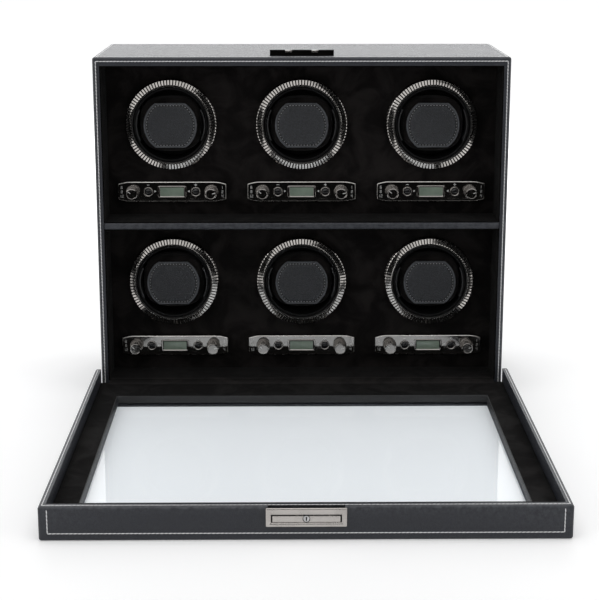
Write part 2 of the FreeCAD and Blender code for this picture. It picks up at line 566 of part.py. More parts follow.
# Keeper on the case's top, with two tongues that the claws catch when the door is shut
KEEPER_FACE = f"({FRONT} + door_thick - floor_height + door_clear)"
TONGUE_HIGH = "(case_height + keeper_height)"
NOTCH_FROM = f"({FRONT} + claw_reach - claw_tip - floor_height - (tongue_notch_length - claw_tip) / 2)"
keeper_parts = [
    block("keeper_base", both("keeper_width / 2"), (KEEPER_FACE, f"{KEEPER_FACE} + keeper_foot"),
          ("case_height", "case_height + keeper_foot_thick")),
    block("keeper_wall", both("keeper_width / 2"), (KEEPER_FACE, f"{KEEPER_FACE} + keeper_thick"),
          ("case_height", TONGUE_HIGH))]
notches = []
for side, sign in (("left", -1), ("right", 1)):
    low = f"({sign} * tongue_offset - tongue_width / 2)"
    keeper_parts.append(block(f"tongue_{side}", (low, f"{low} + tongue_width"),
                              (f"{KEEPER_FACE} - tongue_length", f"{KEEPER_FACE} + keeper_thick"),
                              (f"{TONGUE_HIGH} - tongue_thick", TONGUE_HIGH)))
    notches.append(block(f"notch_{side}", (f"{low} + tongue_width - tongue_notch", f"{low} + tongue_width + 1"),
                         (NOTCH_FROM, f"{NOTCH_FROM} + tongue_notch_length"),
                         (f"{TONGUE_HIGH} - tongue_thick - 1", f"{TONGUE_HIGH} + 1")))
keep("lock_keeper", cut("lock_keeper", fused("keeper_solid", keeper_parts), notches))

# Check every object and write one file for each piece
doc.recompute()
for item in doc.Objects:
    if "Invalid" in item.State or "Error" in item.State:
        raise RuntimeError(f"{item.Name} did not build: {item.State}")
os.makedirs("parts", exist_ok=True)
for node, item in pieces.items():
    shape = item.Shape
    if shape.isNull() or not shape.isValid() or not shape.Solids:
        raise RuntimeError(f"{node} has no sound solid")
    shape.exportStep(f"parts/{node}.step")
print(len(pieces), "pieces written")
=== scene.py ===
import math

import bmesh
import bpy
import numpy as np
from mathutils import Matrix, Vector


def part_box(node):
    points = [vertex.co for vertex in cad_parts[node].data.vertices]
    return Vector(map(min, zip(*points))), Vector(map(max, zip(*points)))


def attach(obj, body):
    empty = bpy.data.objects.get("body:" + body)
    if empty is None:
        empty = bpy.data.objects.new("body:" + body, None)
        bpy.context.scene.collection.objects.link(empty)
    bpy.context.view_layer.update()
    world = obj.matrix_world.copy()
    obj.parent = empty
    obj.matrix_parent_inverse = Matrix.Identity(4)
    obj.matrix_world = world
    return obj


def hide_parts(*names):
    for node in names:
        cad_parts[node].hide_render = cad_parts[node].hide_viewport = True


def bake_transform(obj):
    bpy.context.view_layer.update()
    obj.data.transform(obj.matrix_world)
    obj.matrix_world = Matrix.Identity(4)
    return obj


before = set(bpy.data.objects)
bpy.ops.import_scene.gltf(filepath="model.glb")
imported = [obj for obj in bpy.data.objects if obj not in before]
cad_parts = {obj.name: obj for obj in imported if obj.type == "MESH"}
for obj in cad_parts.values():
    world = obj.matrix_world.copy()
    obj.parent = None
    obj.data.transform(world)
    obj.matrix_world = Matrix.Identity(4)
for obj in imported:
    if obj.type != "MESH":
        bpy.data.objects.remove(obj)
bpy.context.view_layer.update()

# Case shell
# Four boards glued into a box and wrapped in dark charcoal leatherette with a fine pebble grain.
# The wrap is turned over every outer edge, so the edges are round and catch the light.
MM = 0.001
LEATHER_DARK = (0.0104, 0.0122, 0.0179, 1)
LEATHER_LIGHT = (0.0235, 0.0272, 0.0379, 1)
LEATHER_RUBBED = (0.075, 0.080, 0.090, 1)
LEATHER_CELLS = 1000
CELL_WANDER = 1.2 * MM


def put(tree, kind, inputs=None, **settings):
    """A node of the tree, with its settings and with each input set to a value or fed by a socket."""
    item = tree.nodes.new("ShaderNode" + kind)
    for name, value in settings.items():
        setattr(item, name, value)
    for name, value in (inputs or {}).items():
        if isinstance(value, bpy.types.NodeSocket):
            tree.links.new(value, item.inputs[name])
        else:
            item.inputs[name].default_value = value
    return item


def math_of(tree, operation, first, second, third=0.0):
    """The result of one step of arithmetic on values or sockets."""
    return put(tree, "Math", {0: first, 1: second, 2: third}, operation=operation).outputs[0]


def between(tree, value, low, high, start=0.0, end=1.0):
    """The value eased from start to end as it goes from low to high."""
    ends = {"From Min": low, "From Max": high, "To Min": start, "To Max": end}
    item = put(tree, "MapRange", {"Value": value, **ends}, interpolation_type="SMOOTHSTEP")
    return item.outputs["Result"]


def tint(tree, share, first, second):
    """A colour that goes from first to second as the share goes from 0 to 1."""
    item = put(tree, "Mix", {0: share, 6: first, 7: second}, data_type="RGBA")
    return item.outputs[2]


def noise(tree, scale, detail, place=None, **others):
    """Noise over the piece, in its own space unless a place is given. The others are further inputs."""
    if place is None:
        place = put(tree, "TexCoord").outputs["Object"]
    item = put(tree, "TexNoise", {"Vector": place, "Scale": scale, "Detail": detail, **others})
    return item.outputs["Fac"]


def effect(name, inputs, outputs):
    """An empty node group with named sockets: its tree, the sockets it reads and the ones it writes to."""
    tree = bpy.data.node_groups.new(name, "ShaderNodeTree")
    for label, value in inputs.items():
        socket = tree.interface.new_socket(label, in_out="INPUT", socket_type="NodeSocketFloat")
        socket.default_value = value
    for label in outputs:
        tree.interface.new_socket(label, in_out="OUTPUT", socket_type="NodeSocketFloat")
    return tree, tree.nodes.new("NodeGroupInput").outputs, tree.nodes.new("NodeGroupOutput").inputs


def use(tree, group, **values):
    """The effect placed in a material, with its own values."""
    item = tree.nodes.new("ShaderNodeGroup")
    item.node_tree = group
    for name, value in values.items():
        item.inputs[name].default_value = value
    return item.outputs


def finish_of(name, **constant):
    """A new material, with the sockets that are the same all over set to their values."""
    material = bpy.data.materials.new(name)
    material.use_nodes = True
    tree = material.node_tree
    shader = tree.nodes["Principled BSDF"]
    for label, value in constant.items():
        shader.inputs[label.replace("_", " ")].default_value = value
    return material, tree, shader


def feed(tree, shader, **sockets):
    """Links sockets to the shader's inputs, each under the name of the input that it drives."""
    for label, socket in sockets.items():
        tree.links.new(socket, shader.inputs[label.replace("_", " ")])


def bump_into(tree, shader, height, distance, strength=1.0):
    """Fine relief that only the light shows."""
    bump = put(tree, "Bump", {"Height": height, "Distance": distance, "Strength": strength})
    feed(tree, shader, Normal=bump.outputs["Normal"])


# Pebble grain: small cells parted by creases, a finer tooth on them and slow changes of tone
grain, given, result = effect("Pebble grain", {"Cells": LEATHER_CELLS}, ("Height", "Crease", "Tone"))
place = put(grain, "TexCoord").outputs["Object"]
wander = put(grain, "TexNoise", {"Vector": place, "Scale": 420.0, "Detail": 2.0}).outputs["Color"]
bend = put(grain, "VectorMath", {0: wander, 1: (CELL_WANDER,) * 3}, operation="MULTIPLY").outputs[0]
bent = put(grain, "VectorMath", {0: place, 1: bend}, operation="ADD").outputs[0]
cells = put(grain, "TexVoronoi", {"Vector": bent, "Scale": given["Cells"]}, feature="DISTANCE_TO_EDGE")
crease = between(grain, cells.outputs["Distance"], 0.02, 0.32)
tooth = noise(grain, 3600.0, 3.0)
slow = noise(grain, 130.0, 4.0, Roughness=0.65)
grain.links.new(math_of(grain, "MULTIPLY_ADD", tooth, 0.35, crease), result["Height"])
grain.links.new(crease, result["Crease"])
grain.links.new(between(grain, slow, 0.25, 0.75, 0.36, 0.66), result["Tone"])

# Rubbed edges: a mask that is strong where a surface turns over an outer edge, broken up by noise
rub, given, result = effect("Rubbed edges", {"Reach": 0.08, "Breakup": 240.0}, ("Rub",))
turn = put(rub, "NewGeometry").outputs["Pointiness"]
edge = between(rub, math_of(rub, "SUBTRACT", turn, 0.5), 0.0, given["Reach"])
specks = noise(rub, given["Breakup"], 5.0, Roughness=0.7)
rub.links.new(math_of(rub, "MULTIPLY", edge, between(rub, specks, 0.35, 0.65)), result["Rub"])


def leatherette(name, dark, light, rubbed, cells=LEATHER_CELLS, relief=0.16 * MM, contrast=0.6):
    """Wrap with a pressed grain. The contrast is how far its cells stand out from the dark creases."""
    material, tree, shader = finish_of(name, Specular_IOR_Level=0.5)
    pebbles = use(tree, grain, Cells=cells)
    wear = math_of(tree, "MULTIPLY", use(tree, rub)["Rub"], 0.55)
    body = tint(tree, pebbles["Tone"], dark, light)
    creased = tint(tree, math_of(tree, "MULTIPLY", pebbles["Crease"], contrast), dark, body)
    feed(tree, shader, Base_Color=tint(tree, wear, creased, rubbed),
         Roughness=between(tree, pebbles["Height"], 0.1, 1.3, 0.54, 0.34))
    bump_into(tree, shader, pebbles["Height"], relief, 0.75)
    return material


leather = leatherette("charcoal leatherette", LEATHER_DARK, LEATHER_LIGHT, LEATHER_RUBBED)


def dress(node, material):
    """Gives a CAD node its finish."""
    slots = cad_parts[node].data.materials
    slots.clear()
    slots.append(material)


dress("case_shell", leather)

# Pale stitching on the case
# Waxed pale grey thread, sewn through the wrap a few millimetres in from each edge of the front,
# the top and the sides, so that every face is framed by a row of short slanted stitches.
THREAD_PALE = (0.86, 0.86, 0.87, 1)
THREAD_SHADED = (0.64, 0.64, 0.65, 1)
STITCH_PITCH = 3.4 * MM
STITCH_LENGTH = 3.8 * MM
STITCH_WIDTH = 1.05 * MM
STITCH_RISE = 0.22 * MM
STITCH_SLANT = math.radians(4)
SEAM_INSET = 3.4 * MM
TOP_SEAM_INSET = 4.0 * MM
X, Y, Z = 0, 1, 2


def thread(name, pale, shaded):
    """Twisted thread: bands of light and shade run round it at a slant."""
    material, tree, shader = finish_of(name, Specular_IOR_Level=0.35)
    spot = put(tree, "TexCoord").outputs["Object"]
    twist = put(tree, "TexWave", {"Vector": spot, "Scale": 900.0, "Distortion": 2.5, "Detail": 2.0},
                bands_direction="DIAGONAL").outputs["Fac"]
    fuzz = noise(tree, 1500.0, 2.0)
    blend = math_of(tree, "MULTIPLY_ADD", twist, 0.6, math_of(tree, "MULTIPLY", fuzz, 0.4))
    feed(tree, shader, Base_Color=tint(tree, blend, shaded, pale),
         Roughness=between(tree, fuzz, 0.3, 0.7, 0.55, 0.8))
    bump_into(tree, shader, blend, 0.08 * MM)
    return material


pale_thread = thread("pale waxed thread", THREAD_PALE, THREAD_SHADED)


def stand(name, data):
    """A new object in the scene."""
    item = bpy.data.objects.new(name, data)
    bpy.context.collection.objects.link(item)
    return item


def join_piece(name, mesh, material, body, at=(0, 0, 0), turned=0.0):
    """A mesh becomes a named piece with its finish, set in its place, which moves with a body."""
    item = stand(name, mesh)
    item.location = at
    item.rotation_euler = (0, turned, 0)
    if not mesh.materials:
        mesh.materials.append(material)
    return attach(item, body)


def smooth_mesh(mesh, angle=35):
    """Shades a mesh as smooth, but for the edges that turn by more than an angle."""
    mesh.shade_smooth()
    mesh.set_sharp_from_angle(angle=math.radians(angle))
    return mesh


def mesh_of(name, points, faces):
    """A mesh from its points and the numbers of the points round each face."""
    mesh = bpy.data.meshes.new(name)
    mesh.from_pydata(points, [], faces)
    return mesh


def sewn(name, places, length, width, rise):
    """One bead of thread for each place: a point in the face, the row's direction and the way out."""
    bead = bmesh.new()
    bmesh.ops.create_uvsphere(bead, u_segments=6, v_segments=4, radius=0.5)
    shape = np.array([vert.co[:] for vert in bead.verts])[:, [2, 0, 1]] * (length, width, 2 * rise)
    sides = [[vert.index for vert in face.verts] for face in bead.faces]
    bead.free()
    points = []
    faces = []
    for number, (point, along, out) in enumerate(places):
        across = out.cross(along)
        slanted = along * math.cos(STITCH_SLANT) + across * math.sin(STITCH_SLANT)
        axes = np.array([slanted[:], out.cross(slanted)[:], out[:]])
        points.append(shape @ axes + point[:])
        faces += [[index + number * len(shape) for index in side] for side in sides]
    mesh = mesh_of(name, np.concatenate(points).tolist(), faces)
    mesh.shade_smooth()
    return mesh


def along_row(start, end, out, pitch=STITCH_PITCH):
    """Evenly spaced places along a straight row of stitches."""
    row = end - start
    count = max(1, round(row.length / pitch))
    return [(start.lerp(end, (step + 0.5) / count), row.normalized(), out) for step in range(count)]


def frame_rows(axis, level, first, second, facing):
    """Rows of stitches round a rectangle on a face that looks along an axis, towards facing."""
    out = Vector()
    out[axis] = facing
    corners = [(first[0], second[0]), (first[1], second[0]), (first[1], second[1]), (first[0], second[1])]
    points = [Vector(pair[:axis] + (level,) + pair[axis:]) for pair in corners]
    sides = zip(points, points[1:] + points[:1])
    return [place for start, end in sides for place in along_row(start, end, out)]


def inset(low, high, amount):
    """A span, drawn in by an amount at both ends."""
    return low + amount, high - amount


case_low, case_high = (Vector(corner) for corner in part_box("case_shell"))
front_sides = inset(case_low.x, case_high.x, SEAM_INSET)
front_seam_top = case_high.z - TOP_SEAM_INSET
toward_front = Vector((0, -1, 0))
case_places = frame_rows(Z, case_high.z, front_sides, inset(case_low.y, case_high.y, SEAM_INSET), 1)
for side, facing in ((case_low.x, -1), (case_high.x, 1)):
    case_places += frame_rows(X, side, inset(case_low.y, case_high.y, SEAM_INSET),
                              inset(case_low.z, case_high.z, SEAM_INSET), facing)
for across in front_sides:
    case_places += along_row(Vector((across, case_low.y, case_low.z + SEAM_INSET)),
                             Vector((across, case_low.y, front_seam_top)), toward_front)
case_places += along_row(Vector((front_sides[0], case_low.y, front_seam_top)),
                         Vector((front_sides[1], case_low.y, front_seam_top)), toward_front)
case_sewing = sewn("case_stitching", case_places, STITCH_LENGTH, STITCH_WIDTH, STITCH_RISE)
join_piece("case_stitching", case_sewing, pale_thread, "case")

# Shelf between the bays
# One board, wrapped like the case and let in between its sides. Only its front edge shows its
# leatherette, rolled over top and bottom so that the upper roll catches the light.
SHELF_ROLL = 1.3 * MM


def mesh_from(form, name):
    """The mesh of a finished form."""
    mesh = bpy.data.meshes.new(name)
    form.to_mesh(mesh)
    form.free()
    return mesh


def soft_block(name, low, high, edge, segments=3):
    """A block between two corners, with its edges rounded over."""
    form = bmesh.new()
    bmesh.ops.create_cube(form, size=1)
    low, high = Vector(low), Vector(high)
    bmesh.ops.scale(form, vec=high - low, verts=form.verts)
    bmesh.ops.translate(form, vec=(low + high) / 2, verts=form.verts)
    bmesh.ops.bevel(form, geom=form.edges[:], offset=edge, segments=segments, profile=0.5, affect="EDGES")
    return smooth_mesh(mesh_from(form, name))


shelf_low, shelf_high = (Vector(corner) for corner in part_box("middle_shelf"))
shelf_mesh = soft_block("shelf_board", shelf_low, shelf_high, SHELF_ROLL)
shelf = join_piece("shelf_board", shelf_mesh, leather, "case")
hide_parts("middle_shelf")

# Linings and back panels of the bays
# Black microsuede glued over thin board: a liner round the four walls of each bay, and a panel at
# the back of it with holes for the drums. The nap is brushed into faint lighter and darker patches.
SUEDE_DARK = (0.0020, 0.0018, 0.0018, 1)
SUEDE_LIGHT = (0.0125, 0.0108, 0.0104, 1)
LINING_DARK = (0.0012, 0.0011, 0.0011, 1)
LINING_LIGHT = (0.0052, 0.0047, 0.0046, 1)

# Suede nap: fine fibres, and wide patches that are brushed one way or the other
nap, given, result = effect("Suede nap", {"Patches": 34.0}, ("Height", "Tone"))
fibres = noise(nap, 2600.0, 3.0, Roughness=0.7)
patches = noise(nap, given["Patches"], 4.0, Roughness=0.62, Distortion=0.8)
brushed = between(nap, patches, 0.36, 0.66)
tone = math_of(nap, "MULTIPLY_ADD", brushed, 0.75, math_of(nap, "MULTIPLY", fibres, 0.35))
nap.links.new(fibres, result["Height"])
nap.links.new(tone, result["Tone"])


def microsuede(name, dark, light, sheen=0.04):
    """Short-napped cloth, with a soft sheen where it is seen from the side."""
    material, tree, shader = finish_of(name, Specular_IOR_Level=0.08, Sheen_Weight=sheen,
                                       Sheen_Roughness=0.45)
    pile = use(tree, nap)
    feed(tree, shader, Base_Color=tint(tree, pile["Tone"], dark, light),
         Roughness=between(tree, pile["Tone"], 0.0, 1.0, 1.0, 0.86))
    bump_into(tree, shader, pile["Height"], 0.22 * MM, 0.7)
    return material


suede = microsuede("black microsuede", SUEDE_DARK, SUEDE_LIGHT)
lining_suede = microsuede("lining microsuede", LINING_DARK, LINING_LIGHT, 0.015)
dress("winder_panels", suede)
dress("suede_linings", lining_suede)

# Fluted bezel rings
# A turned and plated gunmetal ring round each drum, pressed into the panel. Its sloping face is cut
# into radial flutes that run over the outer edge, inside a narrow smooth lip. The bottoms of the
# flutes and the bore inside the lip are painted near black as shade.
RING_FLUTES = 90
RING_BORE = 38.2 * MM
RING_LIP = 1.5 * MM
RING_FALL = 1.9 * MM
RING_EDGE = 0.9 * MM
FLUTE_DEPTH = 0.95 * MM
FLUTE_END = 2.4 * MM
LIP_POLISHED = 0.55 * MM
GUNMETAL = (0.50, 0.478, 0.455, 1)
GUNMETAL_DULL = (0.30, 0.285, 0.27, 1)
# Painted shade for the groove bottoms and the bore inside the lip, near black with a lighter speckle
GROOVE_SHADE_DARK = (0.006, 0.006, 0.006, 1)
GROOVE_SHADE_LIGHT = (0.020, 0.019, 0.018, 1)
# One flute: where its points are, as shares of its width, and how much of the full depth each is cut
FLUTE = ((0.0, 0.0), (0.29, 0.0), (0.335, 0.12), (0.365, 0.6), (0.41, 1.0),
         (0.59, 1.0), (0.635, 0.6), (0.665, 0.12), (0.71, 0.0))
# Where the painted shade at the bottom of a groove begins and ends, as shares of a flute's width
GROOVE_FROM = 0.36
GROOVE_TO = 0.64
HAIR_STRETCH = (40.0, 900.0, 1400.0)
HAIR_SLANT = (0.3, 0.2, 0.5)

# Handling: soft smears and a few fine hair scratches on a polished surface
handling, given, result = effect("Handling marks", {"Smears": 60.0}, ("Smear", "Scratch"))
cloud = noise(handling, given["Smears"], 4.0, Roughness=0.6)
place = put(handling, "TexCoord").outputs["Object"]
drawn = put(handling, "Mapping", {"Vector": place, "Scale": HAIR_STRETCH, "Rotation": HAIR_SLANT})
hairs = noise(handling, 1.0, 2.0, drawn.outputs["Vector"])
handling.links.new(between(handling, cloud, 0.38, 0.7), result["Smear"])
handling.links.new(between(handling, hairs, 0.62, 0.75), result["Scratch"])


def plated(name, bright, dull, polish, haze):
    """Plated metal; polish and haze are its roughness where it is clean and where it is smeared."""
    material, tree, shader = finish_of(name, Metallic=1.0)
    marks = use(tree, handling)
    wear = math_of(tree, "MULTIPLY", use(tree, rub, Reach=0.12)["Rub"], 0.3)
    soiled = tint(tree, math_of(tree, "MULTIPLY", marks["Smear"], 0.45), bright, dull)
    rough = between(tree, marks["Smear"], 0.0, 1.0, polish, haze)
    feed(tree, shader, Base_Color=tint(tree, wear, soiled, bright),
         Roughness=math_of(tree, "MULTIPLY_ADD", marks["Scratch"], 0.08, rough))
    bump_into(tree, shader, marks["Scratch"], 0.01 * MM, 0.4)
    return material


gunmetal = plated("gunmetal plating", GUNMETAL, GUNMETAL_DULL, 0.10, 0.17)


def skin(name, rows, caps=(False, False), closed=True, sharp=35):
    """A skin over rows of points. A closed row runs round into a ring, and an end row may be filled."""
    rows = np.asarray(rows, float)
    count, width = rows.shape[:2]
    index = np.arange(count * width).reshape(count, width)
    here = index if closed else index[:, :-1]
    beside = np.roll(index, -1, axis=1) if closed else index[:, 1:]
    faces = np.stack([here[:-1], beside[:-1], beside[1:], here[1:]], axis=-1).reshape(-1, 4).tolist()
    faces += [index[0][::-1].tolist()] * caps[0] + [index[-1].tolist()] * caps[1]
    mesh = mesh_of(name, rows.reshape(-1, 3).tolist(), faces)
    form = bmesh.new()
    form.from_mesh(mesh)
    bmesh.ops.remove_doubles(form, verts=form.verts, dist=1e-6)
    bmesh.ops.recalc_face_normals(form, faces=form.faces)
    form.to_mesh(mesh)
    form.free()
    return smooth_mesh(mesh, sharp)


def fluted(name, profile, flutes, wave, caps=(False, False), sharp=35):
    """A form turned round the Y axis. Each point of the profile is a radius and a depth along Y. Where it is
    fluted, it also has how far the bottom of a flute lies from each of the two."""
    phases = np.array([[(flute + share) / flutes, cut] for flute in range(flutes) for share, cut in wave])
    angles = phases[:, 0] * math.tau
    rows = []
    for radius, depth, *cuts in profile:
        radius_cut, depth_cut = cuts or (0, 0)
        reach = radius - radius_cut * phases[:, 1]
        level = depth + depth_cut * phases[:, 1]
        rows.append(np.stack([reach * np.cos(angles), level, reach * np.sin(angles)], axis=-1))
    return skin(name, rows, caps, sharp=sharp)


UNITS = [f"{row}_{column}" for row in ("upper", "lower") for column in ("left", "middle", "right")]


def middle_of(node):
    """The middle of a CAD node's box."""
    low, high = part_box(node)
    return (Vector(low) + Vector(high)) / 2


drum_centres = {unit: middle_of(f"{unit}_drum") for unit in UNITS}
ring_low, ring_high = (Vector(corner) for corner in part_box("bezel_rings"))
panel_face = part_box("winder_panels")[0][Y]
ring_radius = (ring_high.z - ring_low.z - (drum_centres["upper_left"].z - drum_centres["lower_left"].z)) / 2
ring_front = ring_low.y
rim_level = ring_front + RING_FALL
lip_end = RING_BORE + RING_LIP
slope = RING_FALL / (ring_radius - RING_BORE)
ring_profile = [
    (RING_BORE, panel_face),
    (RING_BORE, ring_front + 0.8 * MM),
    (RING_BORE + 0.2 * MM, ring_front + 0.3 * MM),
    (RING_BORE + 0.6 * MM, ring_front),
    (lip_end - 0.3 * MM, ring_front + 0.1 * MM),
    (lip_end, ring_front + 0.4 * MM),
    (lip_end + 0.5 * MM, ring_front + slope * RING_LIP, 0, 0.2 * FLUTE_DEPTH),
    (lip_end + 1.1 * MM, ring_front + slope * (RING_LIP + 1.1 * MM), 0, FLUTE_DEPTH),
    (ring_radius - RING_EDGE - 1.6 * MM, rim_level - slope * 2.5 * MM, 0, FLUTE_DEPTH),
    (ring_radius - RING_EDGE, rim_level - slope * RING_EDGE, 0.2 * FLUTE_DEPTH, FLUTE_DEPTH),
    (ring_radius - 0.28 * RING_EDGE, rim_level + 0.28 * RING_EDGE, 0.7 * FLUTE_DEPTH, 0.6 * FLUTE_DEPTH),
    (ring_radius, rim_level + RING_EDGE, FLUTE_DEPTH, 0.2 * FLUTE_DEPTH),
    (ring_radius, panel_face - FLUTE_END, FLUTE_DEPTH, 0),
    (ring_radius, panel_face - 1.6 * MM),
    (ring_radius, panel_face)]
ring_mesh = fluted("bezel_ring", ring_profile, RING_FLUTES, FLUTE, sharp=14)
# Painted shade: the bottoms of the grooves and the bore inside the polished lip are near black.
groove_painted_shade, tree, shader = finish_of("painted shade in grooves and bore", Specular_IOR_Level=0.3)
shade_speckle = noise(tree, 700.0, 3.0)
feed(tree, shader, Base_Color=tint(tree, between(tree, shade_speckle, 0.4, 0.7), GROOVE_SHADE_DARK, GROOVE_SHADE_LIGHT),
     Roughness=between(tree, shade_speckle, 0.3, 0.7, 0.7, 0.5))
ring_mesh.materials.append(gunmetal)
ring_mesh.materials.append(groove_painted_shade)
for side in ring_mesh.polygons:
    out = math.hypot(side.center.x, side.center.z)
    share = math.atan2(side.center.z, side.center.x) / math.tau * RING_FLUTES % 1
    on_flutes = out > lip_end and side.center.y < panel_face - FLUTE_END
    in_groove = on_flutes and GROOVE_FROM < share < GROOVE_TO
    side.material_index = int(in_groove or out < lip_end - LIP_POLISHED)
for unit, centre in drum_centres.items():
    ring = join_piece(f"{unit}_ring", ring_mesh, gunmetal, "case", (centre.x, 0, centre.z))
    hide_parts("bezel_rings")

# Works behind the panels
# A moulded can round each drum, a geared motor on the can's end and a circuit board behind each
# control bar. They are screwed to the back of the panels and show only with the cover off.
MOULDED = (0.010, 0.010, 0.0105, 1)
MOULDED_SHEEN = (0.017, 0.017, 0.018, 1)
CAN_STEEL = (0.46, 0.46, 0.455, 1)
CAN_DULL = (0.27, 0.27, 0.27, 1)
BOARD_GREEN = (0.012, 0.075, 0.030, 1)
BOARD_TRACK = (0.030, 0.125, 0.050, 1)


def moulding(name, dark, light, smooth, rough, stipple=1800.0, gloss=0.45):
    """Moulded plastic with a fine spark-eroded stipple."""
    material, tree, shader = finish_of(name, Specular_IOR_Level=gloss)
    grit = noise(tree, stipple, 2.0)
    wear = math_of(tree, "MULTIPLY", use(tree, rub)["Rub"], 0.4)
    feed(tree, shader, Base_Color=tint(tree, wear, tint(tree, grit, dark, light), light),
         Roughness=between(tree, use(tree, handling)["Smear"], 0.0, 1.0, smooth, rough))
    bump_into(tree, shader, grit, 0.03 * MM, 0.5)
    return material


moulded_black = moulding("black moulding", MOULDED, MOULDED_SHEEN, 0.42, 0.55)
motor_steel = plated("drawn steel can", CAN_STEEL, CAN_DULL, 0.3, 0.42)
board_green, tree, shader = finish_of("green circuit board", Specular_IOR_Level=0.5)
spot = put(tree, "TexCoord").outputs["Object"]
tracks = put(tree, "TexBrick", {"Vector": spot, "Scale": 160.0, "Mortar Size": 0.04, "Color1": BOARD_GREEN,
                                "Color2": BOARD_GREEN, "Mortar": BOARD_TRACK})
feed(tree, shader, Base_Color=tracks.outputs["Color"],
     Roughness=between(tree, tracks.outputs["Fac"], 0, 1, 0.35, 0.5))
dress("drum_housings", moulded_black)
dress("gear_motors", motor_steel)
dress("control_boards", board_green)

# Drums
# A black moulded cup in each ring, carried by its motor's shaft. Only its rim and the mouth of its
# bore show round the cuff that it holds.
DRUM_BLACK = (0.0035, 0.0035, 0.0037, 1)
DRUM_SHEEN = (0.0070, 0.0070, 0.0073, 1)
drum_black = moulding("drum moulding", DRUM_BLACK, DRUM_SHEEN, 0.5, 0.64, gloss=0.12)
for unit in UNITS:
    dress(f"{unit}_drum", drum_black)

# Watch cuffs
# A stuffed pad of black microsuede that a watch strap closes round, pressed into each drum between
# two thin moulded end plates. It is sewn up round a firm foam core, so it is full, with soft rolled edges.
CUFF_HALF_WIDTH = 32.6 * MM
CUFF_HALF_HEIGHT = 29.0 * MM
CUFF_FULLNESS = 2.9
CUFF_END_SHARE = 0.55
CUFF_SHRINK = 1.2 * MM
CUFF_SWELL_LIMIT = 1.9 * MM
CUFF_VOXEL = 2.6 * MM
CUFF_PRESSURE = 4.0
CUFF_FRAMES = 20
PATCH_SEAT = 1.5 * MM
END_PLATE_RADIUS = 34.9 * MM
END_PLATE_THICK = 1.1 * MM
END_PLATE_SET_BACK = 3.2 * MM
END_PLATE_HALF_ANGLE = math.radians(27)
END_PLATE_STEPS = 25
cuff_low, cuff_high = (Vector(corner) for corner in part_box("upper_middle_cuff"))
cuff_front = cuff_low.y
cuff_back = cuff_high.y


def pad_outline(half_width, half_height, steps=48):
    """A rounded oblong, fuller than an ellipse."""
    turn = np.linspace(0, math.tau, steps, endpoint=False)
    power = 2 / CUFF_FULLNESS
    x = half_width * np.sign(np.cos(turn)) * np.abs(np.cos(turn)) ** power
    z = half_height * np.sign(np.sin(turn)) * np.abs(np.sin(turn)) ** power
    return np.stack([x, z], axis=-1)


def upright_rows(rings):
    """Rows for a skin over outlines that stand one behind another; each is its points and its depth."""
    return [np.insert(points, 1, depth, axis=1) for points, depth in rings]


def as_shown(item):
    """The object with its modifiers worked out."""
    return item.evaluated_get(bpy.context.evaluated_depsgraph_get())


def stuffed_pad(name):
    """The pad's form, shrunk, then blown up by a cloth simulation until it is full."""
    outline = pad_outline(CUFF_HALF_WIDTH - CUFF_SHRINK, CUFF_HALF_HEIGHT - CUFF_SHRINK)
    middle = (cuff_front + PATCH_SEAT + cuff_back) / 2
    half_depth = (cuff_back - cuff_front - PATCH_SEAT - 2 * CUFF_SHRINK) / 2
    rings = []
    for share in np.linspace(-1, 1, 15):
        draw_in = max((1 - abs(share) ** 4) ** 0.25, CUFF_END_SHARE)
        rings.append((outline * draw_in, middle + share * half_depth))
    pad = stand(name, skin(name, upright_rows(rings), (True, True)))
    remesh = pad.modifiers.new("even", "REMESH")
    remesh.mode = "VOXEL"
    remesh.voxel_size = CUFF_VOXEL
    even = bpy.data.meshes.new_from_object(as_shown(pad))
    pad.modifiers.clear()
    pad.data = even
    start = np.array([vert.co[:] for vert in even.vertices])
    cloth = pad.modifiers.new("stuffing", "CLOTH")
    cloth.settings.use_pressure = True
    cloth.settings.uniform_pressure_force = CUFF_PRESSURE
    cloth.settings.effector_weights.gravity = 0
    for step in range(1, CUFF_FRAMES + 1):
        bpy.context.scene.frame_set(step)
    blown = np.array([vert.co[:] for vert in as_shown(pad).data.vertices])
    pad.modifiers.clear()
    bpy.context.scene.frame_set(1)
    move = blown - start
    reach = np.linalg.norm(move, axis=1, keepdims=True)
    start = start + move * np.minimum(1, CUFF_SWELL_LIMIT / np.maximum(reach, 1e-9))
    even.vertices.foreach_set("co", start.ravel())
    finer = pad.modifiers.new("finer", "SUBSURF")
    finer.render_levels = 1
    finer.levels = 1
    done = bpy.data.meshes.new_from_object(as_shown(pad))
    bpy.data.objects.remove(pad)
    done.name = name
    done.materials.clear()
    return smooth_mesh(done, 60)


cuff_suede = microsuede("stuffed black microsuede", SUEDE_DARK, SUEDE_LIGHT)
pad_mesh = stuffed_pad("cuff_pad")
end_plate_front = cuff_front + END_PLATE_SET_BACK
end_plate_inside = END_PLATE_RADIUS - END_PLATE_THICK
end_plate_section = [
    (END_PLATE_RADIUS, end_plate_front),
    (END_PLATE_RADIUS, cuff_back),
    (end_plate_inside, cuff_back),
    (end_plate_inside, end_plate_front),
    (END_PLATE_RADIUS, end_plate_front)]
turn = np.linspace(-END_PLATE_HALF_ANGLE, END_PLATE_HALF_ANGLE, END_PLATE_STEPS)
arc = np.stack([np.cos(turn), np.sin(turn)], axis=-1)
end_plate_rows = upright_rows([(arc * radius, depth) for radius, depth in end_plate_section])
end_plate_mesh = skin("cuff_end_plate", end_plate_rows, closed=False)
for unit, centre in drum_centres.items():
    body = f"{unit}_cuff"
    seat = (centre.x, 0, centre.z)
    cuff = join_piece(f"{unit}_cuff_pad", pad_mesh, cuff_suede, body, seat)
    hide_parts(f"{unit}_cuff")
    for side, turned in (("left", math.pi), ("right", 0.0)):
        plate = f"{unit}_cuff_{side}_plate"
        join_piece(plate, end_plate_mesh, moulded_black, body, seat, turned)
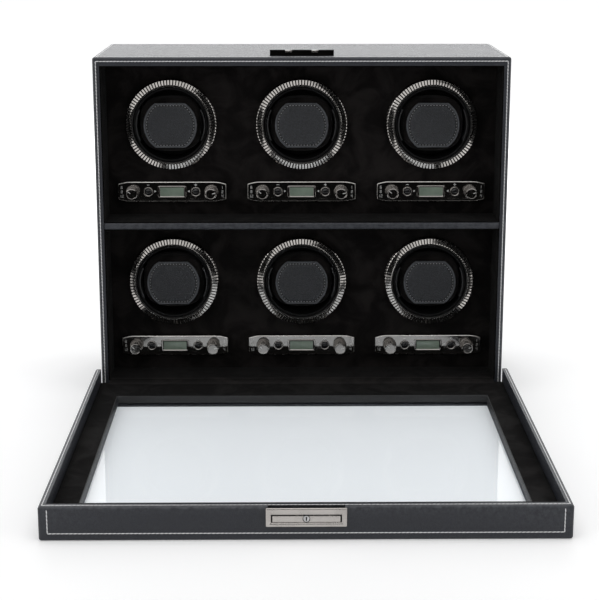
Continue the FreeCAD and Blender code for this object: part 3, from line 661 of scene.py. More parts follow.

# Leatherette faces of the cuffs
# A stiff patch, flat at top and bottom and bowed at the sides, sewn on the front of each cuff. Its
# edge is turned under and stands up as a welt, with dark thread sunk in a channel just inside it.
# The welt is painted lighter as a highlight, and the channel near black as painted shade.
PATCH_HALF_WIDTH = 26.9 * MM
PATCH_HALF_HEIGHT = 22.6 * MM
PATCH_FLAT = 15.0 * MM
PATCH_DOME = 0.7 * MM
PATCH_DARK = (0.0110, 0.0122, 0.0150, 1)
PATCH_LIGHT = (0.0400, 0.0440, 0.0510, 1)
# The welt's colours are lighter than the patch's: a painted highlight.
WELT_HIGHLIGHT_DARK = (0.0280, 0.0305, 0.0350, 1)
WELT_HIGHLIGHT_LIGHT = (0.0660, 0.0710, 0.0790, 1)
PATCH_RUBBED = (0.120, 0.128, 0.140, 1)
DARK_THREAD = (0.200, 0.206, 0.216, 1)
DARK_THREAD_LIGHT = (0.480, 0.490, 0.505, 1)
# The channel's colours are near black: painted shade.
CHANNEL_SHADE_DARK = (0.0022, 0.0023, 0.0026, 1)
CHANNEL_SHADE_LIGHT = (0.0060, 0.0064, 0.0072, 1)
# Each ring of the patch: its share of the border's size, and how far it stands in front of the pad
PATCH_RINGS = (
    (0.985, -2.0 * MM), (1.0, -0.5 * MM), (1.0, 0.2 * MM), (0.990, 0.66 * MM), (0.968, 0.80 * MM),
    (0.930, 0.70 * MM), (0.922, 0.45 * MM), (0.917, 0.10 * MM), (0.853, 0.10 * MM), (0.846, 0.45 * MM),
    (0.830, 0.60 * MM), (0.70, 0.64 * MM), (0.5, 0.64 * MM), (0.3, 0.64 * MM), (0.1, 0.64 * MM))
# The strips between rings that are the channel, painted shade; those outside it are the welt, painted
# highlight
CHANNEL_STRIPS = range(6, 9)
CHANNEL = 0.885
FACE_STITCHES = 48
FACE_STITCH_LENGTH = 1.3 * MM
FACE_STITCH_WIDTH = 0.85 * MM
FACE_STITCH_RISE = 0.36 * MM
FACE_STITCH_LEVEL = 0.30 * MM
LOOK_AHEAD = 0.2 * MM
patch_seat_level = cuff_front + PATCH_SEAT


def patch_outline(steps=25):
    """The patch's border from its right corner round: flat runs above and below, an arc on each side."""
    rise = PATCH_HALF_HEIGHT
    bow = PATCH_HALF_WIDTH - PATCH_FLAT
    radius = (rise ** 2 + bow ** 2) / (2 * bow)
    sweep = math.asin(rise / radius)
    turn = np.linspace(-sweep, sweep, steps)
    right = np.stack([PATCH_HALF_WIDTH - radius + radius * np.cos(turn), radius * np.sin(turn)], axis=-1)
    flat = np.linspace(PATCH_FLAT, -PATCH_FLAT, steps)[1:-1]
    top = np.stack([flat, np.full(len(flat), rise)], axis=-1)
    return np.concatenate([right, top, -right, -top])


def patch_front(x, z, proud):
    """Where the domed patch is along Y, at a place that stands proud of the pad."""
    dome = PATCH_DOME * (1 - (x / PATCH_HALF_WIDTH) ** 2) * (1 - (z / PATCH_HALF_HEIGHT) ** 2)
    return patch_seat_level - proud - np.maximum(dome, 0)


patch_edge = patch_outline()
patch_rows = []
for share, proud in PATCH_RINGS:
    x, z = (patch_edge * share).T
    patch_rows.append(np.stack([x, patch_front(x, z, proud), z], axis=-1))
patch_mesh = skin("cuff_face", patch_rows, (False, True), sharp=70)
patch_leather = leatherette("cuff leatherette", PATCH_DARK, PATCH_LIGHT, PATCH_RUBBED, 640, 0.6 * MM, 0.95)
dark_thread = thread("dark waxed thread", DARK_THREAD_LIGHT, DARK_THREAD)
# The channel takes painted shade and the welt a painted highlight.
channel_painted_shade = leatherette("channel painted shade", CHANNEL_SHADE_DARK, CHANNEL_SHADE_LIGHT, CHANNEL_SHADE_LIGHT, 900, 0.1 * MM)
welt_painted_highlight = leatherette("welt painted highlight", WELT_HIGHLIGHT_DARK, WELT_HIGHLIGHT_LIGHT, PATCH_RUBBED, 900, 0.12 * MM)
for finish in (patch_leather, channel_painted_shade, welt_painted_highlight):
    patch_mesh.materials.append(finish)
for side in patch_mesh.polygons:
    strip_number = side.index // len(patch_edge)
    side.material_index = 2 if strip_number < CHANNEL_STRIPS.start else int(strip_number in CHANNEL_STRIPS)


def round_places(outline, share, count):
    """Places for stitches spaced evenly round a closed outline."""
    loop = np.concatenate([outline, outline[:1]]) * share
    gone = np.concatenate([[0], np.cumsum(np.linalg.norm(np.diff(loop, axis=0), axis=1))])
    places = []
    for step in range(count):
        at = gone[-1] * (step + 0.5) / count
        x, z = (np.interp(at, gone, loop[:, axis]) for axis in (0, 1))
        ahead_x, ahead_z = (np.interp(at + LOOK_AHEAD, gone, loop[:, axis]) for axis in (0, 1))
        along = Vector((ahead_x - x, 0, ahead_z - z)).normalized()
        places.append((Vector((x, patch_front(x, z, FACE_STITCH_LEVEL), z)), along, toward_front))
    return places


face_places = round_places(patch_edge, CHANNEL, FACE_STITCHES)
face_sewing = sewn("cuff_face_stitching", face_places, FACE_STITCH_LENGTH, FACE_STITCH_WIDTH,
                   FACE_STITCH_RISE)
for unit, centre in drum_centres.items():
    body = f"{unit}_cuff"
    seat = (centre.x, 0, centre.z)
    join_piece(f"{unit}_cuff_face", patch_mesh, patch_leather, body, seat)
    join_piece(f"{unit}_cuff_face_stitching", face_sewing, dark_thread, body, seat)

# Control bars
# A moulded bar below each drum, plated and polished to a dark mirror. Its front is bowed from top to
# bottom and its ends are drawn in, so that it shows bright lines along its upper and lower edges; its
# rounded edges are plated brighter as a painted highlight.
BAR_HALF_WIDTH = 55.2 * MM
BAR_HALF_HEIGHT = 10.4 * MM
BAR_END_HALF_HEIGHT = 8.1 * MM
BAR_TAPER = 11.0 * MM
BAR_ROUND = 0.8 * MM
BAR_CROWN = 0.3 * MM
BAR_DROP = 69.2 * MM
# The last rows of points before the rounded ends and edges, as shares of the flat's half size
END_ROW = 0.998
EDGE_ROW = 0.988
# A face takes the painted highlight while it looks forward by more than the first and less than the second
HIGHLIGHT_FROM = 0.12
HIGHLIGHT_TO = 0.985
MIRROR = (0.29, 0.276, 0.262, 1)
MIRROR_DULL = (0.245, 0.232, 0.22, 1)
# The brighter plating of the rounded edges is a painted highlight
EDGE_HIGHLIGHT_BRIGHT = (0.62, 0.60, 0.575, 1)
EDGE_HIGHLIGHT_DULL = (0.50, 0.482, 0.462, 1)
bars_low, bars_high = (Vector(corner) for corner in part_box("control_fascias"))
bar_proud = bars_high.y - bars_low.y
dark_mirror = plated("dark mirror plating", MIRROR, MIRROR_DULL, 0.045, 0.085)
bar_edge_highlight = plated("bar edge painted highlight", EDGE_HIGHLIGHT_BRIGHT, EDGE_HIGHLIGHT_DULL, 0.26, 0.36)


def bar_half_height(x):
    """Half the bar's height at a place along it, with the corners of its outline eased."""
    into_taper = np.clip((abs(x) - (BAR_HALF_WIDTH - BAR_TAPER)) / BAR_TAPER, 0, 1)
    return BAR_HALF_HEIGHT + (BAR_END_HALF_HEIGHT - BAR_HALF_HEIGHT) * into_taper ** 1.5


def bar_front(x, z):
    """How far the bar's front stands out of the panel at a place on it, away from its edges."""
    return bar_proud - BAR_CROWN * (z / bar_half_height(x)) ** 2


def flat_steps(last, count):
    """Even steps from -1 to 1, but for the first and the last, which lie just inside the ends."""
    return np.concatenate([[-last], np.linspace(-1, 1, count)[1:-1], [last]])


quarter = np.linspace(0, math.pi / 2, 6)
edge_in = BAR_ROUND * (1 - np.cos(quarter))
edge_fall = BAR_ROUND * (1 - np.sin(quarter))
flat_half = BAR_HALF_WIDTH - BAR_ROUND
stations = np.sort(np.concatenate([-BAR_HALF_WIDTH + edge_fall, flat_steps(END_ROW, 41) * flat_half,
                                   BAR_HALF_WIDTH - edge_fall]))
up_steps = flat_steps(EDGE_ROW, 15)
rounding = np.concatenate([edge_fall, np.zeros(len(up_steps)), edge_fall[::-1]])
bar_rows = []
for x in stations:
    past = max(0.0, abs(x) - flat_half) / BAR_ROUND
    fall = BAR_ROUND * (1 - math.sqrt(max(0.0, 1 - past ** 2)))
    half = bar_half_height(x) - fall
    across = np.concatenate([-half + edge_in, up_steps * (half - BAR_ROUND), half - edge_in[::-1]])
    proud = bar_front(x, across) - rounding - fall
    row = np.stack([np.full(len(across), x), -proud, across], axis=-1)
    foot_low, foot_high = (row[0] * (1, 0, 1), row[-1] * (1, 0, 1))
    bar_rows.append(np.concatenate([[foot_low], row, [foot_high]]))
bar_mesh = skin("control_bar", bar_rows, (True, True))
bar_mesh.materials.append(dark_mirror)
bar_mesh.materials.append(bar_edge_highlight)
# Faces on the rounded edges take the brighter plating: painted highlight.
for side in bar_mesh.polygons:
    side.material_index = int(HIGHLIGHT_FROM < -side.normal.y < HIGHLIGHT_TO)
bar_centres = {unit: centre - Vector((0, 0, BAR_DROP)) for unit, centre in drum_centres.items()}
bar_seats = {unit: (centre.x, panel_face, centre.z) for unit, centre in bar_centres.items()}
for unit, seat in bar_seats.items():
    bar = join_piece(f"{unit}_control_bar", bar_mesh, dark_mirror, "case", seat)
    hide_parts("control_fascias")

# Displays
# A grey-green liquid crystal window in the middle of each bar, blank while the winder is off. It lies
# in a raised plated frame whose rounded upper and lower edges catch the light.
SURROUND_PROUD = 0.75 * MM
# Width, height and corner radius
SURROUND = (29.0 * MM, 12.6 * MM, 1.6 * MM)
WINDOW = (23.6 * MM, 8.7 * MM, 0.5 * MM)
LCD_LIGHT = (0.200, 0.250, 0.203, 1)
LCD_DARK = (0.145, 0.186, 0.148, 1)


def round_oblong(width, height, corner, steps=5):
    """The outline of an oblong with round corners, anticlockwise."""
    turn = np.linspace(0, math.pi / 2, steps)
    arc = np.stack([np.cos(turn), np.sin(turn)], axis=-1) * corner
    points = []
    for quarter_turn in range(4):
        angle = quarter_turn * math.pi / 2
        spin = np.array([[math.cos(angle), math.sin(angle)], [-math.sin(angle), math.cos(angle)]])
        signs = np.sign([math.cos(angle + math.pi / 4), math.sin(angle + math.pi / 4)])
        points.append(arc @ spin + signs * (width / 2 - corner, height / 2 - corner))
    return np.concatenate(points)


def grown(size, amount):
    """The outline of a width, height and corner radius, grown on all sides by an amount."""
    width, height, corner = size
    return round_oblong(width + 2 * amount, height + 2 * amount, corner + amount)


bar_face = -bar_proud
surround_rows = upright_rows([
    (grown(SURROUND, 0), bar_face + 0.8 * MM),
    (grown(SURROUND, 0), bar_face - 0.3 * SURROUND_PROUD),
    (grown(SURROUND, -0.25 * MM), bar_face - 0.8 * SURROUND_PROUD),
    (grown(SURROUND, -0.7 * MM), bar_face - SURROUND_PROUD),
    (grown(WINDOW, 0.8 * MM), bar_face - 0.85 * SURROUND_PROUD),
    (grown(WINDOW, 0.15 * MM), bar_face - 0.2 * SURROUND_PROUD),
    (grown(WINDOW, 0), bar_face + 0.3 * MM)])
surround_mesh = skin("display_frame", surround_rows, sharp=50)
window_rows = upright_rows([
    (grown(WINDOW, 0.1 * MM), bar_face + 0.25 * MM),
    (grown(WINDOW, 0.1 * MM), bar_face - 0.05 * MM),
    (grown(WINDOW, -0.2 * MM), bar_face - 0.12 * MM)])
window_mesh = skin("display_window", window_rows, (False, True))
liquid_crystal, tree, shader = finish_of("blank liquid crystal", Specular_IOR_Level=0.5, Roughness=0.14)
spot = put(tree, "TexCoord").outputs["Object"]
dots = put(tree, "TexVoronoi", {"Vector": spot, "Scale": 2200.0}).outputs["Distance"]
shade = math_of(tree, "MULTIPLY_ADD", noise(tree, 90.0, 2.0), 0.8, math_of(tree, "MULTIPLY", dots, 0.25))
feed(tree, shader, Base_Color=tint(tree, between(tree, shade, 0.3, 0.8), LCD_DARK, LCD_LIGHT))
for unit, seat in bar_seats.items():
    join_piece(f"{unit}_display_frame", surround_mesh, dark_mirror, "case", seat)
    window = join_piece(f"{unit}_display_window", window_mesh, liquid_crystal, "case", seat)
    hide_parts("display_modules")

# Knobs
# A turned and plated knob on each of a bar's two spindles. It tapers to the front, its side is cut
# into grip flutes, and a pale line on its polished face shows where it is set.
SIDES = ("left", "right")
KNOB_FLUTES = 24
KNOB_BASE = 7.1 * MM
KNOB_TIP = 6.1 * MM
KNOB_CUT = 0.45 * MM
KNOB_EDGE = 0.8 * MM
KNOB_GAP = 0.4 * MM
KNOB_TURNED = {"left": math.radians(-52), "right": math.radians(75)}
POINTER_HALF = 0.35 * MM
POINTER_FROM = 1.4 * MM
POINTER_TO = 4.4 * MM
PRINT_PALE = (0.62, 0.62, 0.61, 1)
PRINT_WORN = (0.40, 0.40, 0.395, 1)
# One flute of the grip, in the way of the rings' flute
GRIP = ((0.0, 0.0), (0.2, 0.08), (0.32, 0.4), (0.42, 0.9), (0.5, 1.0), (0.58, 0.9), (0.68, 0.4), (0.8, 0.08))
knob_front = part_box("upper_left_left_knob")[0][Y]
knob_back = panel_face - bar_proud - KNOB_GAP
knob_profile = [
    (KNOB_BASE - 0.6 * MM, knob_back),
    (KNOB_BASE, knob_back - 0.15 * MM),
    (KNOB_BASE, knob_back - 0.9 * MM),
    (KNOB_BASE - 0.12 * MM, knob_back - 1.3 * MM, KNOB_CUT, 0),
    (KNOB_TIP + 0.05 * MM, knob_front + KNOB_EDGE + 0.5 * MM, KNOB_CUT, 0),
    (KNOB_TIP, knob_front + KNOB_EDGE, 0.5 * KNOB_CUT, 0),
    (KNOB_TIP - 0.3 * KNOB_EDGE, knob_front + 0.3 * KNOB_EDGE),
    (KNOB_TIP - KNOB_EDGE, knob_front),
    (KNOB_TIP - KNOB_EDGE - 0.5 * MM, knob_front + 0.05 * MM),
    (KNOB_TIP - KNOB_EDGE - 0.8 * MM, knob_front + 0.22 * MM),
    (1.0 * MM, knob_front + 0.3 * MM)]
knob_mesh = fluted("knob", knob_profile, KNOB_FLUTES, GRIP, (True, True), sharp=14)
pointer_mesh = soft_block("knob_pointer", (-POINTER_HALF, knob_front + 0.12 * MM, POINTER_FROM),
                          (POINTER_HALF, knob_front + 0.4 * MM, POINTER_TO), 0.1 * MM, 2)
knob_plating = plated("knob plating", MIRROR, MIRROR_DULL, 0.06, 0.12)


def printed(name, pale, worn):
    """Screen-printed paint, a little thin in places."""
    material, tree, shader = finish_of(name, Specular_IOR_Level=0.4)
    thin = noise(tree, 1400.0, 3.0)
    feed(tree, shader, Base_Color=tint(tree, between(tree, thin, 0.3, 0.7), worn, pale),
         Roughness=between(tree, thin, 0.3, 0.7, 0.6, 0.42))
    return material


pale_print = printed("pale print", PRINT_PALE, PRINT_WORN)
for unit in UNITS:
    for side in SIDES:
        body = f"{unit}_{side}_knob"
        centre = middle_of(body)
        seat = (centre.x, 0, centre.z)
        knob = join_piece(f"{body}_turned", knob_mesh, knob_plating, body, seat)
        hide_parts(body)
        join_piece(f"{body}_pointer", pointer_mesh, pale_print, body, seat, KNOB_TURNED[side])

# Push buttons
# A small glossy black dome that stands through a plated collar, next to each knob.
# The button springs back on its switch, and the collar is pressed into the bar.
BUTTON_RADIUS = 3.35 * MM
BUTTON_DOME = 1.25 * MM
BUTTON_TOP_RADIUS = 0.15 * MM
BUTTON_SIDES = 40
COLLAR_INNER = 3.5 * MM
COLLAR_OUTER = 5.1 * MM
COLLAR_PROUD = 1.3 * MM
COLLAR_SUNK = 1.2 * MM
BUTTON_BLACK = (0.006, 0.006, 0.0065, 1)
BUTTON_DUSTY = (0.014, 0.014, 0.015, 1)


def lathed(name, profile, sides, caps=(False, False), sharp=35):
    """A plain form turned round the Y axis, with a number of flat sides."""
    return fluted(name, profile, sides, ((0.0, 0.0),), caps, sharp)


button_low, button_high = (Vector(corner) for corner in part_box("upper_left_left_button"))
button_profile = [(BUTTON_RADIUS, button_high.y)]
for turn in np.linspace(0, math.pi / 2, 8):
    radius = max(BUTTON_RADIUS * math.cos(turn), BUTTON_TOP_RADIUS)
    button_profile.append((radius, button_low.y + BUTTON_DOME * (1 - math.sin(turn))))
button_mesh = lathed("button", button_profile, BUTTON_SIDES, (True, True), sharp=50)
collar_seat = panel_face - bar_proud
collar_profile = [
    (COLLAR_OUTER, collar_seat + COLLAR_SUNK),
    (COLLAR_OUTER, collar_seat - 0.35 * COLLAR_PROUD),
    (COLLAR_OUTER - 0.25 * MM, collar_seat - 0.85 * COLLAR_PROUD),
    (COLLAR_OUTER - 0.6 * MM, collar_seat - COLLAR_PROUD),
    (COLLAR_INNER + 0.3 * MM, collar_seat - 0.8 * COLLAR_PROUD),
    (COLLAR_INNER, collar_seat - 0.3 * COLLAR_PROUD),
    (COLLAR_INNER, collar_seat + COLLAR_SUNK)]
collar_mesh = lathed("button_collar", collar_profile, BUTTON_SIDES, sharp=50)
button_gloss = moulding("glossy black button", BUTTON_BLACK, BUTTON_DUSTY, 0.10, 0.22, 900.0)
for unit in UNITS:
    for side in SIDES:
        body = f"{unit}_{side}_button"
        centre = middle_of(body)
        seat = (centre.x, 0, centre.z)
        button = join_piece(f"{body}_dome", button_mesh, button_gloss, body, seat)
        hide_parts(body)
        join_piece(f"{body}_collar", collar_mesh, dark_mirror, "case", seat)

# Printed marks on the bars
# Pale screen print that follows the bowed front: plus, minus and arrow signs by the buttons, and
# three short scale numbers at each end of the bar.
MARK_LIFT = 0.04 * MM
MARK_STROKE = 0.55 * MM
BUTTON_OFFSET = 24.2 * MM
SIGN_LEVEL = 7.2 * MM
SIGN_HALF = 1.1 * MM
ARROW_OFFSET = 17.0 * MM
ARROW_LEVEL = 0.6 * MM
# An arrow that points to the left, round its middle
ARROW = np.array([(-1.1 * MM, 0), (0.9 * MM, 1.2 * MM), (0.9 * MM, -1.2 * MM)])
DIGIT_HEIGHT = 2.5 * MM
DIGIT_STROKE = 0.4 * MM
# Strokes of each digit on a grid two wide and four high
DIGITS = {
    "1": [(1, 0, 1, 4)],
    "2": [(0, 4, 2, 4), (2, 4, 2, 2), (2, 2, 0, 2), (0, 2, 0, 0), (0, 0, 2, 0)],
    "4": [(0, 4, 0, 2), (0, 2, 2, 2), (2, 4, 2, 0)],
    "6": [(2, 4, 0, 4), (0, 4, 0, 0), (0, 0, 2, 0), (2, 0, 2, 2), (2, 2, 0, 2)],
    "8": [(0, 0, 0, 4), (0, 4, 2, 4), (2, 4, 2, 0), (2, 0, 0, 0), (0, 2, 2, 2)]}
DIGIT_ROWS = 4
DIGIT_ADVANCE = 3
END_NUMBERS = {"left": ("6", "8", "12"), "right": ("1", "2", "4")}
END_NUMBER_OFFSET = 51.3 * MM
END_NUMBER_STEP = 4.5 * MM


def stroke(start, end, width=MARK_STROKE):
    """The four corners of a straight printed stroke."""
    start, end = np.array(start), np.array(end)
    along = (end - start) / np.linalg.norm(end - start)
    side = np.array([-along[1], along[0]]) * width / 2
    start, end = start - along * width / 2, end + along * width / 2
    return [start - side, end - side, end + side, start + side]


marks = []
for side, sign in (("left", -1), ("right", 1)):
    above = np.array([sign * BUTTON_OFFSET, SIGN_LEVEL])
    marks.append(stroke(above - (SIGN_HALF, 0), above + (SIGN_HALF, 0)))
    if side == "right":
        marks.append(stroke(above - (0, SIGN_HALF), above + (0, SIGN_HALF)))
    beside = np.array([sign * ARROW_OFFSET, ARROW_LEVEL])
    marks.append([beside + point * (sign, 1) for point in ARROW])
    for level, number in enumerate(END_NUMBERS[side]):
        cell = DIGIT_HEIGHT / DIGIT_ROWS
        pen = sign * END_NUMBER_OFFSET - (len(number) * DIGIT_ADVANCE - 1) * cell / 2
        base = (1 - level) * END_NUMBER_STEP - DIGIT_HEIGHT / 2
        for digit in number:
            for x0, z0, x1, z1 in DIGITS[digit]:
                start = (pen + x0 * cell, base + z0 * cell)
                end = (pen + x1 * cell, base + z1 * cell)
                marks.append(stroke(start, end, DIGIT_STROKE))
            pen += DIGIT_ADVANCE * cell
mark_points = []
mark_faces = []
for outline in marks:
    mark_faces.append(list(range(len(mark_points), len(mark_points) + len(outline))))
    mark_points += [(x, -bar_front(x, z) - MARK_LIFT, z) for x, z in outline]
mark_mesh = mesh_of("bar_marks", mark_points, mark_faces)
for unit, seat in bar_seats.items():
    join_piece(f"{unit}_bar_marks", mark_mesh, pale_print, "case", seat)

# Back cover, screws and power socket
# A board in plain black cover paper let into the back of the case, held by a pan-head cross-slot screw in
# each corner. A moulded socket for the power lead is pressed into it, low down near one side.
COVER_DARK = (0.0075, 0.0076, 0.0080, 1)
COVER_LIGHT = (0.0165, 0.0165, 0.0175, 1)
STEEL = (0.52, 0.52, 0.525, 1)
STEEL_DULL = (0.33, 0.33, 0.335, 1)
SCREW_RADIUS = 3.2 * MM
SCREW_SIDES = 32
# The straight share of the head's height, and the share of its radius by which its top draws in
HEAD_WALL = 0.4
HEAD_DRAW_IN = 0.35
SLOT_LENGTH = 3.6 * MM
SLOT_WIDTH = 0.8 * MM
SLOT_DEPTH = 0.1 * MM
# How far a slot is turned, in radians for each metre of its height, so that upper and lower ones differ
SLOT_TURN = 9
back_board = leatherette("black cover paper", COVER_DARK, COVER_LIGHT, COVER_LIGHT, 1500, 0.06 * MM)
dress("back_cover", back_board)
satin_steel = plated("satin steel", STEEL, STEEL_DULL, 0.28, 0.4)
screws_low, screws_high = (Vector(corner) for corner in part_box("cover_screws"))
screw_top = screws_high.y
screw_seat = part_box("back_cover")[1][Y]
screw_rise = screw_top - screw_seat
screw_profile = [(SCREW_RADIUS, screw_seat)]
for turn in np.linspace(0, math.pi / 2, 6):
    radius = SCREW_RADIUS - HEAD_DRAW_IN * SCREW_RADIUS * (1 - math.cos(turn))
    screw_profile.append((radius, screw_seat + screw_rise * (HEAD_WALL + (1 - HEAD_WALL) * math.sin(turn))))
screw_mesh = lathed("screw_head", screw_profile, SCREW_SIDES, (False, True), sharp=50)
# The cross slots are not cut: a thin black cross on the top of each head stands for them, painted shade.
slot_shade_form = bmesh.new()
for length, width in ((SLOT_LENGTH, SLOT_WIDTH), (SLOT_WIDTH, SLOT_LENGTH)):
    cut = bmesh.ops.create_cube(slot_shade_form, size=1)["verts"]
    bmesh.ops.scale(slot_shade_form, vec=(length, SLOT_DEPTH, width), verts=cut)
    bmesh.ops.translate(slot_shade_form, vec=(0, screw_top - SLOT_DEPTH / 2, 0), verts=cut)
slot_shade_mesh = mesh_from(slot_shade_form, "screw_slot_painted_shade")
for side, across in (("left", screws_low.x + SCREW_RADIUS), ("right", screws_high.x - SCREW_RADIUS)):
    for height, level in (("low", screws_low.z + SCREW_RADIUS), ("high", screws_high.z - SCREW_RADIUS)):
        corner = f"{side}_{height}"
        seat = (across, 0, level)
        turned = level * SLOT_TURN
        head = join_piece(f"cover_screw_{corner}", screw_mesh, satin_steel, "case", seat)
        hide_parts("cover_screws")
        join_piece(f"cover_screw_slot_{corner}", slot_shade_mesh, moulded_black, "case", seat, turned)
dress("power_inlet", moulded_black)

# Door frame
# A tray of wrapped board that closes over the front of the case: a rim on three sides, and a slab with
# the window in it. It is covered in the case's leatherette, with pale stitches along each edge.
DOOR_SEAM_INSET = 2.6 * MM
DOOR_LOW_SEAM = 6.3 * MM
DOOR_SIDE_SEAM = 7.2 * MM
DOOR_BASE_SEAM = 4.4 * MM
WINDOW_SEAM = 6.0 * MM
dress("door_frame", leather)
door_low, door_high = (Vector(corner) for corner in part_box("door_frame"))
glass_low, glass_high = (Vector(corner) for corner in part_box("door_glass"))
border_low, border_high = (Vector(corner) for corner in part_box("door_border"))
rim_middle = (door_high.x + border_high.x) / 2
front_rim_middle = (door_low.y + border_low.y) / 2
upward = Vector((0, 0, 1))
door_places = []
for across in (-rim_middle, rim_middle):
    door_places += along_row(Vector((across, door_high.y - SEAM_INSET, door_high.z)),
                             Vector((across, front_rim_middle, door_high.z)), upward)
door_places += along_row(Vector((-rim_middle, front_rim_middle, door_high.z)),
                         Vector((rim_middle, front_rim_middle, door_high.z)), upward)
door_left, door_right = inset(door_low.x, door_high.x, DOOR_SIDE_SEAM)
door_seam_top = door_high.z - DOOR_SEAM_INSET
front_corners = [
    Vector((door_left, door_low.y, door_seam_top)),
    Vector((door_left, door_low.y, DOOR_LOW_SEAM)),
    Vector((door_right, door_low.y, DOOR_LOW_SEAM)),
    Vector((door_right, door_low.y, door_seam_top))]
for start, end in zip(front_corners, front_corners[1:]):
    door_places += along_row(start, end, toward_front)
door_ends = inset(door_low.y, door_high.y, SEAM_INSET)
for side, facing in ((door_low.x, -1), (door_high.x, 1)):
    door_places += frame_rows(X, side, door_ends, (DOOR_LOW_SEAM, door_seam_top), facing)
door_places += frame_rows(Z, door_low.z, inset(door_low.x, door_high.x, DOOR_BASE_SEAM),
                          inset(door_low.y, door_high.y, DOOR_BASE_SEAM), -1)
door_places += frame_rows(Z, door_low.z, inset(glass_low.x, glass_high.x, -WINDOW_SEAM),
                          inset(glass_low.y, glass_high.y, -WINDOW_SEAM), -1)
door_sewing = sewn("door_stitching", door_places, STITCH_LENGTH, STITCH_WIDTH, STITCH_RISE)
join_piece("door_stitching", door_sewing, pale_thread, "door")

# Glass pane
# Clear float glass, faintly blue-green through its thickness, let into the slab from inside and held
# by the suede border.
GLASS_TINT = (0.968, 0.982, 0.992, 1)


def any_ray(tree, *kinds):
    """1 for a ray of one of these kinds, 0 for any other."""
    path = put(tree, "LightPath").outputs
    share = path[f"Is {kinds[0]} Ray"]
    for kind in kinds[1:]:
        share = math_of(tree, "MAXIMUM", share, path[f"Is {kind} Ray"])
    return share


pane, tree, shader = finish_of("clear float glass", Base_Color=GLASS_TINT, Transmission_Weight=1.0, IOR=1.18,
                               Metallic=0.0)
dust = noise(tree, 28.0, 6.0)
feed(tree, shader, Roughness=between(tree, dust, 0.45, 0.8, 0.0, 0.035))
# Looked at, it is glass. Shadows, soft light and mirrored rays pass it as a clear film, so that what
# stands behind the shut door is lit as it is when the door is open.
unseen = any_ray(tree, "Shadow", "Diffuse", "Glossy")
film = put(tree, "BsdfTransparent", {"Color": GLASS_TINT})
pane_mix = put(tree, "MixShader", {0: unseen, 1: shader.outputs["BSDF"], 2: film.outputs["BSDF"]})
tree.links.new(pane_mix.outputs["Shader"], tree.nodes["Material Output"].inputs["Surface"])
dress("door_glass", pane)

# Suede border of the window
# A mitred frame of suede-covered board that lies on the slab inside the rim and holds the pane down.
# Its four lengths meet in fine seams at the corners.
PANE_LAP = 4.7 * MM
MITRE_WIDTH = 0.5 * MM
MITRE_RISE = 0.06 * MM
MITRE_FOLD_RISE = 0.02 * MM
BORDER_DARK = (0.0022, 0.0021, 0.0021, 1)
BORDER_LIGHT = (0.0092, 0.0086, 0.0084, 1)
border_suede = microsuede("border microsuede", BORDER_DARK, BORDER_LIGHT, 0.01)
dress("door_border", border_suede)
window_side = glass_high.x - PANE_LAP
window_near = glass_low.y + PANE_LAP
window_far = glass_high.y - PANE_LAP
mitre_points = []
mitre_faces = []
for sign in (-1, 1):
    for outer, inner in ((border_low.y, window_near), (border_high.y, window_far)):
        start = Vector((sign * border_high.x, outer, border_high.z))
        end = Vector((sign * window_side, inner, border_high.z))
        along = (end - start).normalized()
        across = upward.cross(along) * MITRE_WIDTH / 2
        lips = [start - across, end - across, end + across, start + across]
        fold = [start + along * MITRE_WIDTH, end - along * MITRE_WIDTH]
        base = len(mitre_points)
        mitre_points += [point + upward * MITRE_RISE for point in lips]
        mitre_points += [point + upward * MITRE_FOLD_RISE for point in fold]
        mitre_faces += [(base, base + 1, base + 5, base + 4), (base + 4, base + 5, base + 2, base + 3)]
mitre_mesh = mesh_of("border_mitres", mitre_points, mitre_faces)
join_piece("border_mitres", smooth_mesh(mitre_mesh), suede, "door")

# Trim round the window
# A narrow strip of the case's leatherette that lines the cut edge of the border, down to the glass.
# Its upper edge is turned over into a fine bead that catches the light.
TRIM_THICK = 0.6 * MM
TRIM_CORNER = 0.6 * MM
TRIM_BEAD = 0.3 * MM
TRIM_GAP = 0.02 * MM
TRIM_DARK = (0.0060, 0.0064, 0.0072, 1)
TRIM_LIGHT = (0.0150, 0.0158, 0.0175, 1)
trim_foot = glass_high.z + TRIM_GAP
trim_top = border_high.z


def lying_ring(shrink, level):
    """The window's outline, drawn in by an amount, at a level."""
    points = round_oblong(2 * (window_side - shrink), window_far - window_near - 2 * shrink, TRIM_CORNER)
    middle = (window_near + window_far) / 2
    return np.stack([points[:, 0], points[:, 1] + middle, np.full(len(points), level)], axis=-1)


trim_rows = [
    lying_ring(TRIM_GAP, trim_foot),
    lying_ring(TRIM_GAP, trim_top),
    lying_ring(-0.25 * MM, trim_top + 0.5 * TRIM_BEAD),
    lying_ring(-0.05 * MM, trim_top + TRIM_BEAD),
    lying_ring(0.4 * TRIM_THICK, trim_top + TRIM_BEAD),
    lying_ring(0.85 * TRIM_THICK, trim_top + 0.4 * TRIM_BEAD),
    lying_ring(TRIM_THICK, trim_top - TRIM_BEAD),
    lying_ring(TRIM_THICK, trim_foot)]
trim_leather = leatherette("trim leatherette", TRIM_DARK, TRIM_LIGHT, TRIM_LIGHT)
join_piece("window_trim", skin("window_trim", trim_rows, sharp=60), trim_leather, "door")

